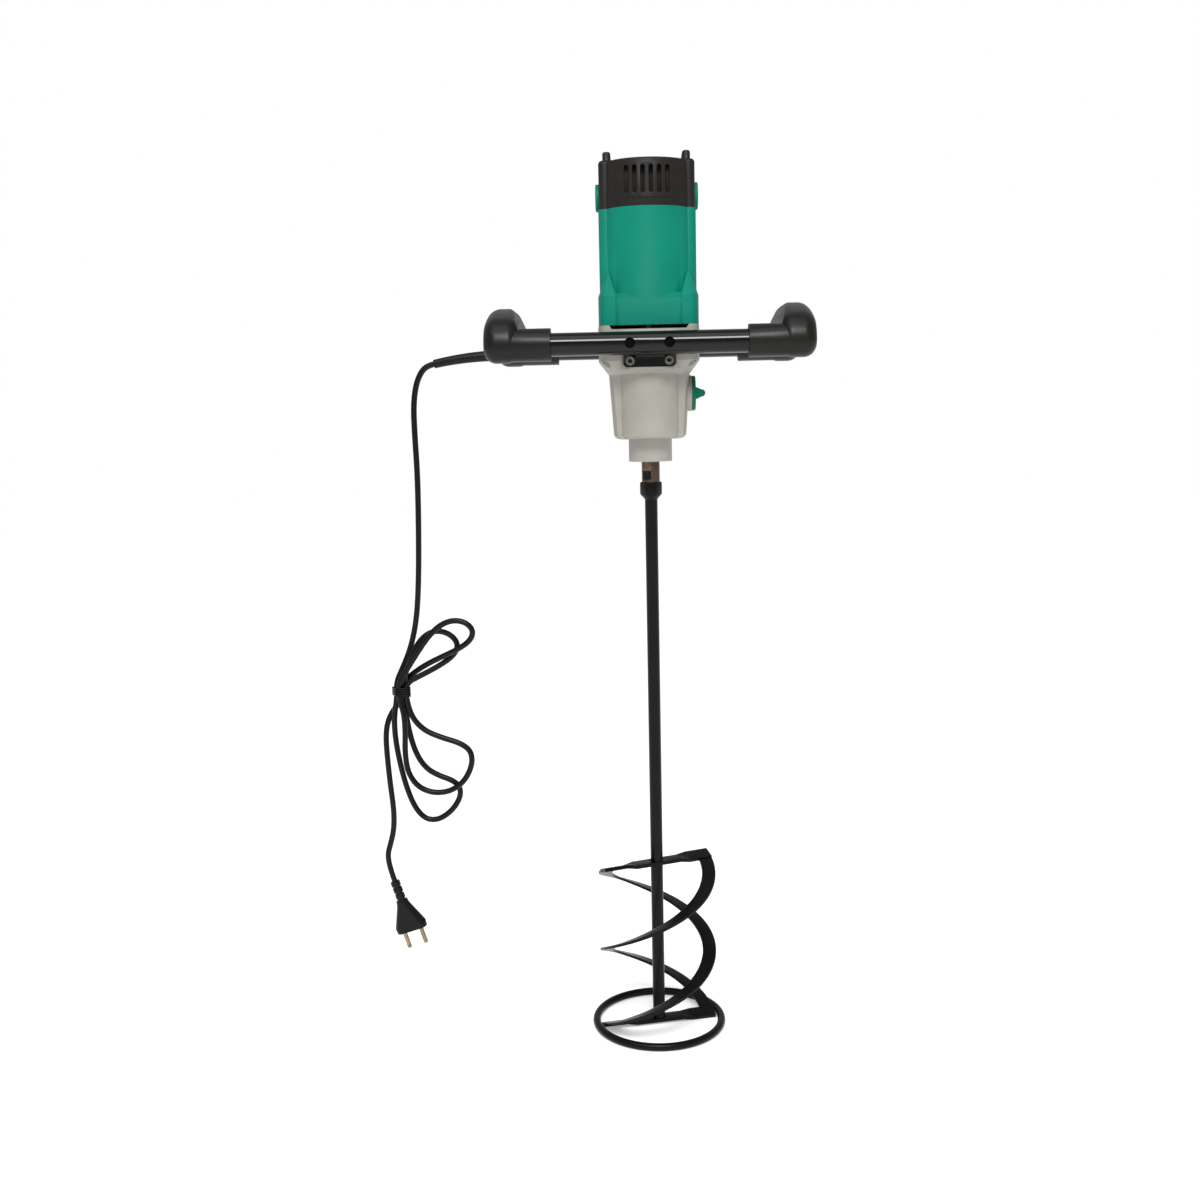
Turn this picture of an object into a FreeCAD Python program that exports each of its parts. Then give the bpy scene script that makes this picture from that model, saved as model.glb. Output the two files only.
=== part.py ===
"""Two-handled mixing drill with a helical paddle, built as separate named pieces.

Millimetres. +Z runs up the spindle axis and the origin is the centre of the lower face of the 43 mm
clamping collar. +X is the side of the speed selector and +Y the side away from the front handle tube.
"""
import FreeCAD, Part
import math
import os

V = FreeCAD.Vector
X_AXIS = V(1, 0, 0)
Y_AXIS = V(0, 1, 0)
Z_AXIS = V(0, 0, 1)
ORIGIN = V(0, 0, 0)

# Fits
FIT = 0.05
RUNNING = 0.05
SLIDING = 0.15
MOVING_GAP = 0.4
HEAD_CLEARANCE = 0.3
TOUCH = 0.01

# Gearbox casting
COLLAR_RADIUS = 21.5
COLLAR_LENGTH = 22.5
GEARBOX_HALF_BOTTOM = 35.6
GEARBOX_HALF_TOP = 39.8
GEARBOX_SIDE_RADIUS = 90.0
GEARBOX_CORNER_RADIUS = 14.0
GEARBOX_BOTTOM_FILLET = 5.0
GEARBOX_FLOOR = 8.5
SHOULDER_Z = 85.0
FLANGE_BOTTOM_Z = 97.7
FLANGE_TOP_Z = 131.3
FLANGE_HALF = 49.5
FLANGE_SIDE_RADIUS = 260.0
FLANGE_CORNER_RADIUS = 7.0
CASTING_WALL = 4.6
BARREL_RADIUS = 34.0
BARREL_CENTRE_Y = -6.5
BARREL_RAISE = 0.5
REAR_BARREL_RADIUS = 15.5
BARREL_TOP_Z = 88.0
FRONT_RELIEF_Y = 26.0
REAR_RELIEF_Y = 31.0
RELIEF_TOP_Z = 84.0
RELIEF_SLOPE = 0.12
EXHAUST_SLOT_HEIGHT = 3.7
EXHAUST_SLOT_HALF = 38.0
EXHAUST_SLOT_SLANT = 2.5
FLANGE_SCREW_OFFSET = 41.4
FLANGE_SCREW_RADIUS = 2.0
FLANGE_SCREW_HEAD_RADIUS = 3.7
FLANGE_SCREW_HEAD = 4.0
FLANGE_SCREW_SEAT_Z = 116.0
FLANGE_SCREW_LENGTH = 30.0

# Motor housing, cover and brush caps
HOUSING_RADIUS = 46.0
HOUSING_WALL = 3.0
SIDE_PAD = HOUSING_RADIUS + 0.7
SIDE_PAD_HALF = 25.0
SIDE_PAD_CORNER = 6.0
SKIRT_INSET = 2.0
SKIRT_TOP_Z = 155.4
SKIRT_BEVEL_Z = 161.5
SKIRT_BEVEL_INSET = 6.5
POST_INNER_X = 31.3
POST_TOP_Z = 159.0
GUSSET_TOP_Z = 185.0
GUSSET_TIP = 0.06
HOUSING_TOP_Z = 241.6
COVER_RADIUS = HOUSING_RADIUS - 0.5
COVER_WALL = 2.8
COVER_EDGE_Z = 283.5
COVER_TOP_Z = 288.0
COVER_EDGE_ROUND = 2.5
COVER_FLAT = HOUSING_RADIUS
COVER_FLAT_TOP_Z = 287.0
COVER_FLAT_ROUND = 3.5
BRUSH_WEB = 2.4
BRUSH_WEB_INNER_X = 15.5
AIR_GUIDE = 2.0
AIR_GUIDE_Y = 32.5
AIR_GUIDE_HALF = 29.0
AIR_GUIDE_BOTTOM_Z = 249.0
FOOT_RIB_X = 38.0
FOOT_RIB_WIDTH = 7.7
FOOT_RIB_LENGTH = 44.0
FOOT_RIB_TOP_Z = 295.0
FOOT_RIB_ROUND = 2.2
VENT_COUNT = 6
VENT_PITCH = 7.76
VENT_WIDTH = 4.5
VENT_BOTTOM_Z = 253.3
VENT_TOP_Z = 279.0
VENT_PANEL_WIDTH = 48.6
VENT_PANEL_PROUD = 0.9
VENT_PANEL_MARGIN = 4.0
VENT_PANEL_TOP_MARGIN = 2.0
VENT_PANEL_CORNER = 3.0
COVER_SCREW_RADIUS = 1.75
COVER_SCREW_HEAD_RADIUS = 3.4
COVER_SCREW_HEAD = 2.6
COVER_SCREW_SEAT_Z = 266.0
COVER_SCREW_LENGTH = 36.0
PILLAR_RADIUS = 5.2
PILLAR_DROP = 14.0
PILLAR_SINK = 0.4
COVER_SCREW_OFFSET = (HOUSING_RADIUS - HOUSING_WALL - PILLAR_RADIUS + PILLAR_SINK) / math.sqrt(2)
BRUSH_Z = 255.0
BRUSH_CAP_RADIUS = 13.0
BRUSH_CAP_HEIGHT = 3.6
BRUSH_CAP_ROUND = 1.4
BRUSH_STEM_RADIUS = 6.4
BRUSH_STEM_LENGTH = 6.0
COIN_SLOT_WIDTH = 2.4
COIN_SLOT_DEPTH = 1.6

# Speed selector
SELECTOR_Z = 66.0
SELECTOR_RADIUS = 17.0
SELECTOR_DISC = 3.4
SELECTOR_RIM_ROUND = 1.2
SELECTOR_BOSS_RADIUS = 17.5
SELECTOR_BOSS_X = 41.5
SELECTOR_WING_X = 54.5
SELECTOR_WING_BASE = 12.0
SELECTOR_WING_TIP = 7.0
SELECTOR_WING_LENGTH = 31.0
SELECTOR_SHAFT_RADIUS = 6.0
SELECTOR_PIN_RADIUS = 2.5
SELECTOR_PIN_OFFSET = 3.0
SELECTOR_PIN_TIP_X = 23.0

# Handle
TUBE_Y = 66.0
TUBE_Z = 113.5
TUBE_RADIUS = 11.0
TUBE_WALL = 1.8
TUBE_HALF_LENGTH = 126.0
SLEEVE_RADIUS = 15.5
SLEEVE_END_X = TUBE_HALF_LENGTH - 33.3
GRIP_INNER_X = TUBE_HALF_LENGTH - 4.0
GRIP_OUTER_X = TUBE_HALF_LENGTH + 30.0
GRIP_SEAM_X = TUBE_HALF_LENGTH + 15.0
GRIP_FLANK_Z = 124.0
GRIP_FLANK_LEAN = 9.0
GRIP_FLANK_ROUND = 9.0
GRIP_FOOT_RADIUS = 16.5
GRIP_TOP_Z = 151.5
GRIP_UNDER_Z = 121.5
GRIP_SHOULDER_RADIUS = 28.0
GRIP_THROAT_RADIUS = 6.0
GRIP_ROUND = 12.0
GRIP_WALL = 3.2
GRIP_SCREW_Y = 40.0
GRIP_SCREW_Z = 134.5
GRIP_SCREW_RADIUS = 1.75
GRIP_SCREW_HEAD_RADIUS = 3.5
GRIP_SCREW_HEAD = 2.6
GRIP_SCREW_TIP_X = GRIP_INNER_X + 7.0
GRIP_BOSS_RADIUS = 5.0
PAD_Y = 51.0
PAD_HALF = 27.0
PAD_TOP_Z = 125.0
BRACKET_HALF = 25.0
BRACKET_BOTTOM_Z = 91.4
BRACKET_TOP_Z = 123.0
BRACKET_THICKNESS = 5.0
SADDLE_DEPTH = 2.5
BOLT_X = 18.5
BRACKET_SCREW_Z = 97.2
SCREW_RADIUS = 2.5
SCREW_HEAD_RADIUS = 4.25
SCREW_HEAD = 5.0
SOCKET_FLAT = 4.0
SOCKET_DEPTH = 2.5
TUBE_BOLT_RADIUS = 3.0
TUBE_BOLT_HEAD_RADIUS = 4.8
TUBE_BOLT_HEAD = 3.3
TUBE_ACCESS_RADIUS = 5.0
BOLT_TIP_Y = 45.6

# Trigger and switch, in the left grip
TRIGGER_HALF_LENGTH = 20.0
TRIGGER_HALF_WIDTH = 6.5
TRIGGER_TRAVEL = 6.5
TRIGGER_BOTTOM_Z = 112.5
TRIGGER_LIP = 1.8
TRIGGER_LIP_HEIGHT = 1.8
TRIGGER_SEAT = 1.2
TRIGGER_ROUND = 4.0
SWITCH_HALF_LENGTH = 22.0
SWITCH_HALF_WIDTH = 9.0
SWITCH_X = GRIP_SEAM_X + 0.6
SWITCH_FLANGE = 4.0
SWITCH_TOP_Z = 144.5
SPRING_RADIUS = 3.2
SPRING_WIRE = 0.45
SPRING_TURNS = 5

# Gear train, one module throughout
GEAR_MODULE = 1.0
CENTRE_DISTANCE = 24.0
PRESSURE_ANGLE = math.radians(20.0)
BACKLASH = 0.16
MOTOR_PINION_TEETH = 8
BIG_GEAR_TEETH = 40
LOW_PINION_TEETH = 9
LOW_GEAR_TEETH = 39
HIGH_PINION_TEETH = 13
HIGH_GEAR_TEETH = 35
PINION_SHIFT = 0.5
TIP_TRIM = 0.2
BIG_GEAR_Z = 103.0
BIG_GEAR_WIDTH = 9.0
LOW_GEAR_Z = 44.0
LOW_GEAR_WIDTH = 10.0
HIGH_GEAR_Z = 80.0
HIGH_GEAR_WIDTH = 8.5
PINION_OVERLAP = 1.0
DOG_COUNT = 4
DOG_HEIGHT = 3.0
DOG_INNER = 8.4
DOG_OUTER = 13.0
DOG_ANGLE = 38.0
SLEEVE_Z = 57.6
SLEEVE_LENGTH = 10.0
SHIFT_SLEEVE_RADIUS = 14.0
SHIFT_GROOVE_RADIUS = 11.0
SHIFT_GROOVE_WIDTH = 3.2
FORK_THICKNESS = 2.4
FORK_ROD_X = 25.0
FORK_ROD_Y = -15.0
FORK_ROD_RADIUS = 2.5
FORK_ROD_SEAT = 5.0
FORK_BOSS_RADIUS = 4.6
FORK_BOSS_LENGTH = 13.0
FORK_TAB_X = 24.0
FORK_TAB_THICKNESS = 4.0
FORK_TAB_HALF = 8.0
FORK_SLOT_EXTRA = 0.9

# Spindle and countershaft
SPINDLE_NOSE_RADIUS = 9.0
SPINDLE_NOSE_Z = -20.8
SPINDLE_FLATS = 15.4
SPINDLE_FLATS_ANGLE = 61.0
SPINDLE_FLATS_TOP_Z = -9.5
SPINDLE_FLATS_BOTTOM_Z = -18.3
SPINDLE_STUD_RADIUS = 7.0
SPINDLE_STUD_LENGTH = 13.0
SPINDLE_JOURNAL_RADIUS = 7.5
SPINDLE_SPLINE_ROOT = 6.3
SPINDLE_SPLINES = 6
SPINDLE_SPLINE_WIDTH = 3.6
SPINDLE_TOP_RADIUS = 6.0
SPINDLE_BEARING_Z = 7.0
SPINDLE_BEARING_WIDTH = 9.0
SPINDLE_BEARING_OUTER = 16.0
SEAL_Z = 1.2
SEAL_WIDTH = 5.0
INNER_PLATE_Z = 90.0
INNER_PLATE_THICKNESS = 8.0
INNER_PLATE_HALF = 37.0
BEARING_LIP = 3.0
SHAFT_PASSAGE = 1.5
TOP_BEARING_OUTER = 14.0
TOP_BEARING_WIDTH = 7.0
COUNTERSHAFT_RADIUS = 3.7
COUNTERSHAFT_JOURNAL = 3.5
COUNTERSHAFT_SEAT = 4.5
COUNTERSHAFT_BOTTOM_Z = 24.0
BUSH_OUTER = 6.0
BUSH_LENGTH = 7.0
BUSH_TOP_Z = 118.0

# Motor
MOTOR_PLATE_Z = 117.0
MOTOR_PLATE_THICKNESS = 9.5
MOTOR_PLATE_HALF = 46.0
MOTOR_BEARING_BORE = 6.0
MOTOR_BEARING_OUTER = 14.0
MOTOR_BEARING_WIDTH = 8.0
ARMATURE_SHAFT_RADIUS = 6.5
ARMATURE_TOP_RADIUS = 4.0
ARMATURE_TOP_BEARING_OUTER = 11.0
ARMATURE_TOP_BEARING_Z = 269.5
ARMATURE_TOP_BEARING_WIDTH = 7.0
ROTOR_RADIUS = 20.6
ROTOR_BOTTOM_Z = 166.0
ROTOR_TOP_Z = 222.0
ROTOR_SLOTS = 12
ROTOR_SLOT_WIDTH = 3.0
ROTOR_SLOT_DEPTH = 8.0
WINDING_RADIUS = 18.0
WINDING_HEIGHT = 12.0
COMMUTATOR_RADIUS = 14.0
COMMUTATOR_BOTTOM_Z = 243.0
COMMUTATOR_TOP_Z = 266.0
COMMUTATOR_BARS = 24
COMMUTATOR_SLIT = 0.6
FAN_RADIUS = 40.0
FAN_BOTTOM_Z = 134.0
FAN_HEIGHT = 13.0
FAN_DISC = 2.4
FAN_HUB_RADIUS = 11.0
FAN_BLADES = 11
FAN_BLADE_THICKNESS = 1.8
STATOR_YOKE = 6.0
STATOR_BORE = 21.4
POLE_SHOE = 4.5
POLE_ANGLE = 120.0
POLE_NECK_HALF = 11.0
COIL_WIDTH = 7.0
COIL_OVERHANG = 9.0
COIL_THICKNESS = 5.4
BRUSH_HOLDER_RADIUS = 8.1
BRUSH_HOLDER_INNER_X = 16.5
BRUSH_WIDTH = 6.2
BRUSH_HEIGHT = 10.2
BRUSH_OUTER_X = 30.0

# Paddle
HEX_FLATS = 19.0
HEX_BOTTOM_Z = -32.8
HEX_TAPER_Z = -38.3
PADDLE_SHAFT_RADIUS = 6.35
TOP_BAR_Z = -417.0
RING_Z = -589.7
RING_RADIUS = 66.0
RING_ROD = 4.0
BAR_WIDTH = 14.0
BAR_THICKNESS = 4.0
BAR_HALF = 61.0
BAR_FLAT_HALF = 25.0
BAR_TWIST_END = 36.0
BAR_TWIST = 20.0
TOP_BAR_YAW = 24.0
BOTTOM_BAR_YAW = 14.0
BLADE_INNER = 47.0
BLADE_OUTER = 61.0
BLADE_THICKNESS = 3.0

# Cord, hank and plug
CORD_DIAMETER = 6.2
CORD_SETBACK = 0.45
CORD_STEP = 1.5
BOOT_ROOT = V(3.0 - GRIP_OUTER_X, TUBE_Y, TUBE_Z - 4.5)
BOOT_LENGTH = 70.2
BOOT_DROOP = 12.0
BOOT_ROOT_RADIUS = 5.75
BOOT_END_RADIUS = 4.5
BOOT_FLANGE_RADIUS = 8.0
BOOT_FLANGE = 2.5
TIE_Z = -243.0
TIE_HALF_RUN = 9.0
TIE_WIRE = 1.0
TIE_TURNS = 3
TIE_PITCH = 1.7
PLUG_TOP = V(BOOT_ROOT.x - 134.0, 60.0, -457.0)
PLUG_TILT = 17.3
PLUG_NECK = 22.0
PLUG_NECK_RADIUS = 5.2
PLUG_BODY = 36.0
PLUG_WIDTH = 35.0
PLUG_DEPTH = 14.0
PLUG_PIN_RADIUS = 2.4
PLUG_PIN_LENGTH = 19.0
PLUG_PIN_SPACING = 19.0
PLUG_PIN_ROOT = 8.0
# The cord's X is measured from the root of the strain relief
LEAD_ROUTE = [(-85.5, 66, 91), (-90.5, 66, 77.5), (-93.2, 66, 57), (-93, 66, 28), (-91.8, 66, -14),
              (-93, 66, -72), (-95.5, 67, -128), (-99.5, 68, -168), (-107, 69, -198), (-116, 67, -219)]
LEAD_START = 8.5
TIE_STRANDS = [(-123, 61), (-115.5, 61), (-111.5, 53.5), (-119, 53.5), (-115, 68.5)]
TAIL_ROUTE = [(-126, 68.5, -262), (-135, 67.5, -277), (-138, 66, -294), (-137, 65, -320), (-135, 64, -348),
              (-132, 63, -378), (-133, 62.5, -399), (-137, 62, -414), (-141, 61, -427)]
TAIL_END = 14.0
# Each loop of the hank: reach and its angle, width, sideways bow, swell, waist, depth and slant
LOWER_LOOP_BACK = (133.1, -86.3, -40.6, 33.7, -0.7, 6.7, 3.0, 0.0)
UPPER_LOOP_BACK = (72.0, 50.1, 35.2, -7.7, 1.5, -0.2, 7.0, -1.5)
LOWER_LOOP_FRONT = (100.4, -67.4, 55.5, 9.3, -5.3, -10.4, -3.5, 0.0)
UPPER_LOOP_FRONT = (92.6, 52.0, 29.6, -19.6, -3.8, -4.1, -12.0, 2.6)
LOOP_POINTS = 15


# Small geometry helpers
def disc(radius, bottom, top, x=0.0, y=0.0):
    """Upright cylinder between two heights."""
    return Part.makeCylinder(radius, top - bottom, V(x, y, bottom))


def rod(radius, start, end):
    """Cylinder from one point to another."""
    return Part.makeCylinder(radius, (end - start).Length, start, end - start)


def ring(outer, inner, bottom, top, x=0.0, y=0.0):
    """Upright tube between two heights."""
    return disc(outer, bottom, top, x, y).cut(disc(inner, bottom, top, x, y))


def block(x0, x1, y0, y1, z0, z1):
    """Box between opposite corners."""
    return Part.makeBox(x1 - x0, y1 - y0, z1 - z0, V(x0, y0, z0))


def fused(shapes):
    """One shape from overlapping or touching ones."""
    result = shapes[0]
    for shape in shapes[1:]:
        result = result.fuse(shape)
    return result.removeSplitter()


def cut_all(shape, tools):
    """Shape with every tool taken away."""
    for tool in tools:
        shape = shape.cut(tool)
    return shape


def turned_about_z(shape, degrees):
    """Copy turned about the spindle axis."""
    copy = shape.copy()
    copy.rotate(ORIGIN, Z_AXIS, degrees)
    return copy


def mirrored(shape, normal):
    """Copy mirrored through the origin."""
    return shape.mirror(ORIGIN, normal)


def both_sides(shape, normal):
    """The shape and its mirror copy, as separate solids."""
    return Part.makeCompound([shape, mirrored(shape, normal)])


def profile_solid(points, normal_extrusion):
    """Straight-sided prism of a closed polygon."""
    return Part.Face(Part.makePolygon(points + [points[0]])).extrude(normal_extrusion)


def three_point(a, b, c):
    """Arc edge through three points."""
    return Part.Arc(a, b, c).toShape()


def bulged_square(half, height, side_radius, corner_radius):
    """Closed outline of a square with bulged sides and round corners."""
    setback = side_radius - half
    reach = side_radius - corner_radius
    corner = (math.sqrt(2 * reach ** 2 - setback ** 2) - setback) / 2
    stretch = side_radius / reach
    tangent_x = corner * stretch
    tangent_y = setback - (corner + setback) * stretch
    middle = corner + corner_radius / math.sqrt(2)
    side = three_point(V(-tangent_x, tangent_y, height), V(0, -half, height), V(tangent_x, tangent_y, height))
    bend = three_point(V(tangent_x, tangent_y, height), V(middle, -middle, height),
                       V(-tangent_y, -tangent_x, height))
    edges = []
    for quarter in range(4):
        edges += [turned_about_z(side, 90 * quarter), turned_about_z(bend, 90 * quarter)]
    return Part.Wire(edges)


def prism(outline, height):
    """Solid of an outline raised by a height."""
    return Part.Face(outline).extrude(V(0, 0, height))


def loft(outlines):
    """Solid between outlines, with straight sides."""
    return Part.makeLoft(outlines, True, True)


def level(low, high, place):
    """Whether a range lies at one place."""
    return abs(low - place) < TOUCH and abs(high - place) < TOUCH


def edges_at(shape, height):
    """Edges that lie wholly at one height."""
    return [e for e in shape.Edges if level(e.BoundBox.ZMin, e.BoundBox.ZMax, height)]


def hexagon(flats, z0, z1, x=0.0, y=0.0):
    """Upright hexagonal prism given across its flats."""
    radius = flats / math.sqrt(3)
    points = [V(x + radius * math.cos(math.radians(60 * i)), y + radius * math.sin(math.radians(60 * i)), z0)
              for i in range(6)]
    return profile_solid(points, V(0, 0, z1 - z0))


def ball_bearing(bore, outer, bottom, width):
    """Outer race, inner race and balls on the spindle axis."""
    pitch = (bore + outer) / 2
    ball = (outer - bore) * 0.28
    race = (outer - bore) * 0.3
    middle = bottom + width / 2
    groove = Part.makeTorus(pitch, ball + FIT, V(0, 0, middle))
    outer_race = ring(outer, outer - race, bottom, bottom + width).cut(groove)
    inner_race = ring(bore + race, bore, bottom, bottom + width).cut(groove)
    count = int(math.pi * pitch / (ball * 1.35))
    balls = []
    for i in range(count):
        angle = 2 * math.pi * i / count
        balls.append(Part.makeSphere(ball, V(pitch * math.cos(angle), pitch * math.sin(angle), middle)))
    return Part.makeCompound([outer_race, inner_race] + balls)


def coil_spring(radius, wire, turns, start, direction, length):
    """Helical wire spring from a start point along a direction."""
    helix = Part.makeHelix((length - 2 * wire) / turns, length - 2 * wire, radius)
    path = Part.Wire(helix.Edges)
    section = Part.Wire([Part.makeCircle(wire, V(radius, 0, 0), Y_AXIS)])
    spring = path.makePipeShell([section], True, True)
    spring.translate(V(0, 0, wire))
    spring.Placement = FreeCAD.Placement(start,
                                         FreeCAD.Rotation(Z_AXIS, direction)).multiply(spring.Placement)
    return spring


# Gears
def involute(angle):
    """Involute of an angle."""
    return math.tan(angle) - angle


def gear_blank(teeth, shift, bottom, top, centre_y, tooth_at):
    """Spur gear whose first tooth points at an angle in degrees."""
    pitch = GEAR_MODULE * teeth / 2
    base = pitch * math.cos(PRESSURE_ANGLE)
    tip = pitch + GEAR_MODULE * (1 + shift - TIP_TRIM)
    root = pitch - GEAR_MODULE * (1.25 - shift)
    start = max(base, root)
    half = (math.pi / 2 + 2 * shift * math.tan(PRESSURE_ANGLE)) / teeth - BACKLASH / (2 * pitch)
    flank = []
    for step in range(4):
        radius = start + (tip - start) * step / 3
        flank.append((radius, half + involute(PRESSURE_ANGLE) - involute(math.acos(min(1.0, base / radius)))))

    def at(radius, angle):
        return V(radius * math.cos(angle), centre_y + radius * math.sin(angle), bottom)

    def curve(points):
        spline = Part.BSplineCurve()
        spline.interpolate(points)
        return spline.toShape()

    edges = []
    for tooth in range(teeth):
        middle = math.radians(tooth_at) + 2 * math.pi * tooth / teeth
        following = middle + 2 * math.pi / teeth
        rising = [at(radius, middle - spread) for radius, spread in flank]
        falling = [at(radius, middle + spread) for radius, spread in reversed(flank)]
        foot_spread = flank[0][1]
        if root < base:
            edges.append(Part.makeLine(at(root, middle - foot_spread), rising[0]))
        edges.append(curve(rising))
        edges.append(three_point(rising[-1], at(tip, middle), falling[0]))
        edges.append(curve(falling))
        if root < base:
            edges.append(Part.makeLine(falling[-1], at(root, middle + foot_spread)))
        edges.append(three_point(at(root, middle + foot_spread), at(root, (middle + following) / 2),
                                 at(root, following - foot_spread)))
    return Part.Face(Part.Wire(edges)).extrude(V(0, 0, top - bottom))


def dogs(bottom, top, first_angle):
    """Ring of clutch dogs."""
    sectors = []
    for i in range(DOG_COUNT):
        sector = Part.makeCylinder(DOG_OUTER, top - bottom, V(0, 0, bottom), Z_AXIS, DOG_ANGLE)
        sector = sector.cut(disc(DOG_INNER, bottom, top))
        sectors.append(turned_about_z(sector, first_angle - DOG_ANGLE / 2 + 360 * i / DOG_COUNT))
    return sectors


# Gearbox
def gear_housing():
    """Die-cast gearbox: collar, barrel body, shoulder and motor flange, hollow inside."""
    body = loft([bulged_square(GEARBOX_HALF_BOTTOM, COLLAR_LENGTH, GEARBOX_SIDE_RADIUS,
                               GEARBOX_CORNER_RADIUS),
                 bulged_square(GEARBOX_HALF_TOP, SHOULDER_Z, GEARBOX_SIDE_RADIUS, GEARBOX_CORNER_RADIUS)])
    body = body.makeFillet(GEARBOX_BOTTOM_FILLET, edges_at(body, COLLAR_LENGTH))
    shoulder = loft([bulged_square(GEARBOX_HALF_TOP, SHOULDER_Z, GEARBOX_SIDE_RADIUS, GEARBOX_CORNER_RADIUS),
                     bulged_square(FLANGE_HALF, FLANGE_BOTTOM_Z, FLANGE_SIDE_RADIUS, FLANGE_CORNER_RADIUS)])
    flange = prism(bulged_square(FLANGE_HALF, FLANGE_BOTTOM_Z, FLANGE_SIDE_RADIUS, FLANGE_CORNER_RADIUS),
                   FLANGE_TOP_Z - FLANGE_BOTTOM_Z)
    collar = disc(COLLAR_RADIUS, 0, COLLAR_LENGTH + GEARBOX_FLOOR)
    boss = rod(SELECTOR_BOSS_RADIUS, V(GEARBOX_HALF_BOTTOM - CASTING_WALL, 0, SELECTOR_Z),
               V(SELECTOR_BOSS_X, 0, SELECTOR_Z))
    relieved = cut_all(fused([body, shoulder]),
                       [corner_relief(-1, FRONT_RELIEF_Y), corner_relief(1, REAR_RELIEF_Y)])
    outside = fused([relieved, flange, collar, barrel(BARREL_RADIUS, BARREL_CENTRE_Y),
                     barrel(REAR_BARREL_RADIUS, CENTRE_DISTANCE), boss, bracket_pad(-1), bracket_pad(1)])
    return cut_all(outside, gearbox_hollows() + gearbox_holes())


def barrel(radius, centre_y):
    """Upright barrel of the gearbox, round at its lower edge."""
    bottom = COLLAR_LENGTH + BARREL_RAISE
    shape = disc(radius, bottom, BARREL_TOP_Z, 0, centre_y)
    return shape.makeFillet(GEARBOX_BOTTOM_FILLET, edges_at(shape, bottom))


def corner_relief(side, depth):
    """Wedge that sets the gearbox's corners back behind a barrel and runs out under the flange."""
    far = 2 * FLANGE_HALF
    points = [V(-far, side * depth, 0), V(-far, side * depth, RELIEF_TOP_Z),
              V(-far, side * far, RELIEF_TOP_Z + RELIEF_SLOPE * (far - depth)), V(-far, side * far, 0)]
    return profile_solid(points, V(2 * far, 0, 0))


def bracket_pad(side):
    """Flat pad on the flange that a handle bracket is screwed to, with an arched lower edge."""
    arch_z = BARREL_TOP_Z + 4
    left = V(-PAD_HALF, 0, BARREL_TOP_Z)
    right = V(PAD_HALF, 0, BARREL_TOP_Z)
    edges = [three_point(left, V(0, 0, arch_z), right),
             Part.makeLine(right, V(PAD_HALF, 0, PAD_TOP_Z)),
             Part.makeLine(V(PAD_HALF, 0, PAD_TOP_Z), V(-PAD_HALF, 0, PAD_TOP_Z)),
             Part.makeLine(V(-PAD_HALF, 0, PAD_TOP_Z), left)]
    depth = PAD_Y - GEARBOX_HALF_TOP + CASTING_WALL / 2
    pad = Part.Face(Part.Wire(edges)).extrude(V(0, side * depth, 0))
    pad.translate(V(0, side * (PAD_Y - depth), 0))
    return pad


def gearbox_hollows():
    """Hollows of the gearbox, from the floor up to the flange."""
    floor = COLLAR_LENGTH + GEARBOX_FLOOR
    plate_top = INNER_PLATE_Z + INNER_PLATE_THICKNESS
    lower = loft([bulged_square(GEARBOX_HALF_BOTTOM - CASTING_WALL, floor, GEARBOX_SIDE_RADIUS - CASTING_WALL,
                                GEARBOX_CORNER_RADIUS - CASTING_WALL),
                  bulged_square(GEARBOX_HALF_TOP - CASTING_WALL, INNER_PLATE_Z, GEARBOX_SIDE_RADIUS
                                - CASTING_WALL,
                                GEARBOX_CORNER_RADIUS - CASTING_WALL)])
    between = block(-FLANGE_HALF, FLANGE_HALF, CASTING_WALL - FRONT_RELIEF_Y, REAR_RELIEF_Y - CASTING_WALL,
                    floor,
                    INNER_PLATE_Z)
    front = disc(BARREL_RADIUS - CASTING_WALL, floor, INNER_PLATE_Z, 0, BARREL_CENTRE_Y)
    rear = disc(REAR_BARREL_RADIUS - CASTING_WALL, floor, INNER_PLATE_Z, 0, CENTRE_DISTANCE)
    lower = fused([lower.common(between), front, rear])
    plate_pocket = prism(bulged_square(INNER_PLATE_HALF + FIT, INNER_PLATE_Z, GEARBOX_SIDE_RADIUS,
                                       GEARBOX_CORNER_RADIUS - CASTING_WALL), INNER_PLATE_THICKNESS)
    chamber = prism(bulged_square(FLANGE_HALF - CASTING_WALL, plate_top, FLANGE_SIDE_RADIUS,
                                  GEARBOX_CORNER_RADIUS),
                    MOTOR_PLATE_Z - plate_top)
    mouth = prism(bulged_square(MOTOR_PLATE_HALF + FIT, MOTOR_PLATE_Z, FLANGE_SIDE_RADIUS,
                                GEARBOX_CORNER_RADIUS),
                  FLANGE_TOP_Z - MOTOR_PLATE_Z)
    return [lower, plate_pocket, chamber, mouth]


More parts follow.
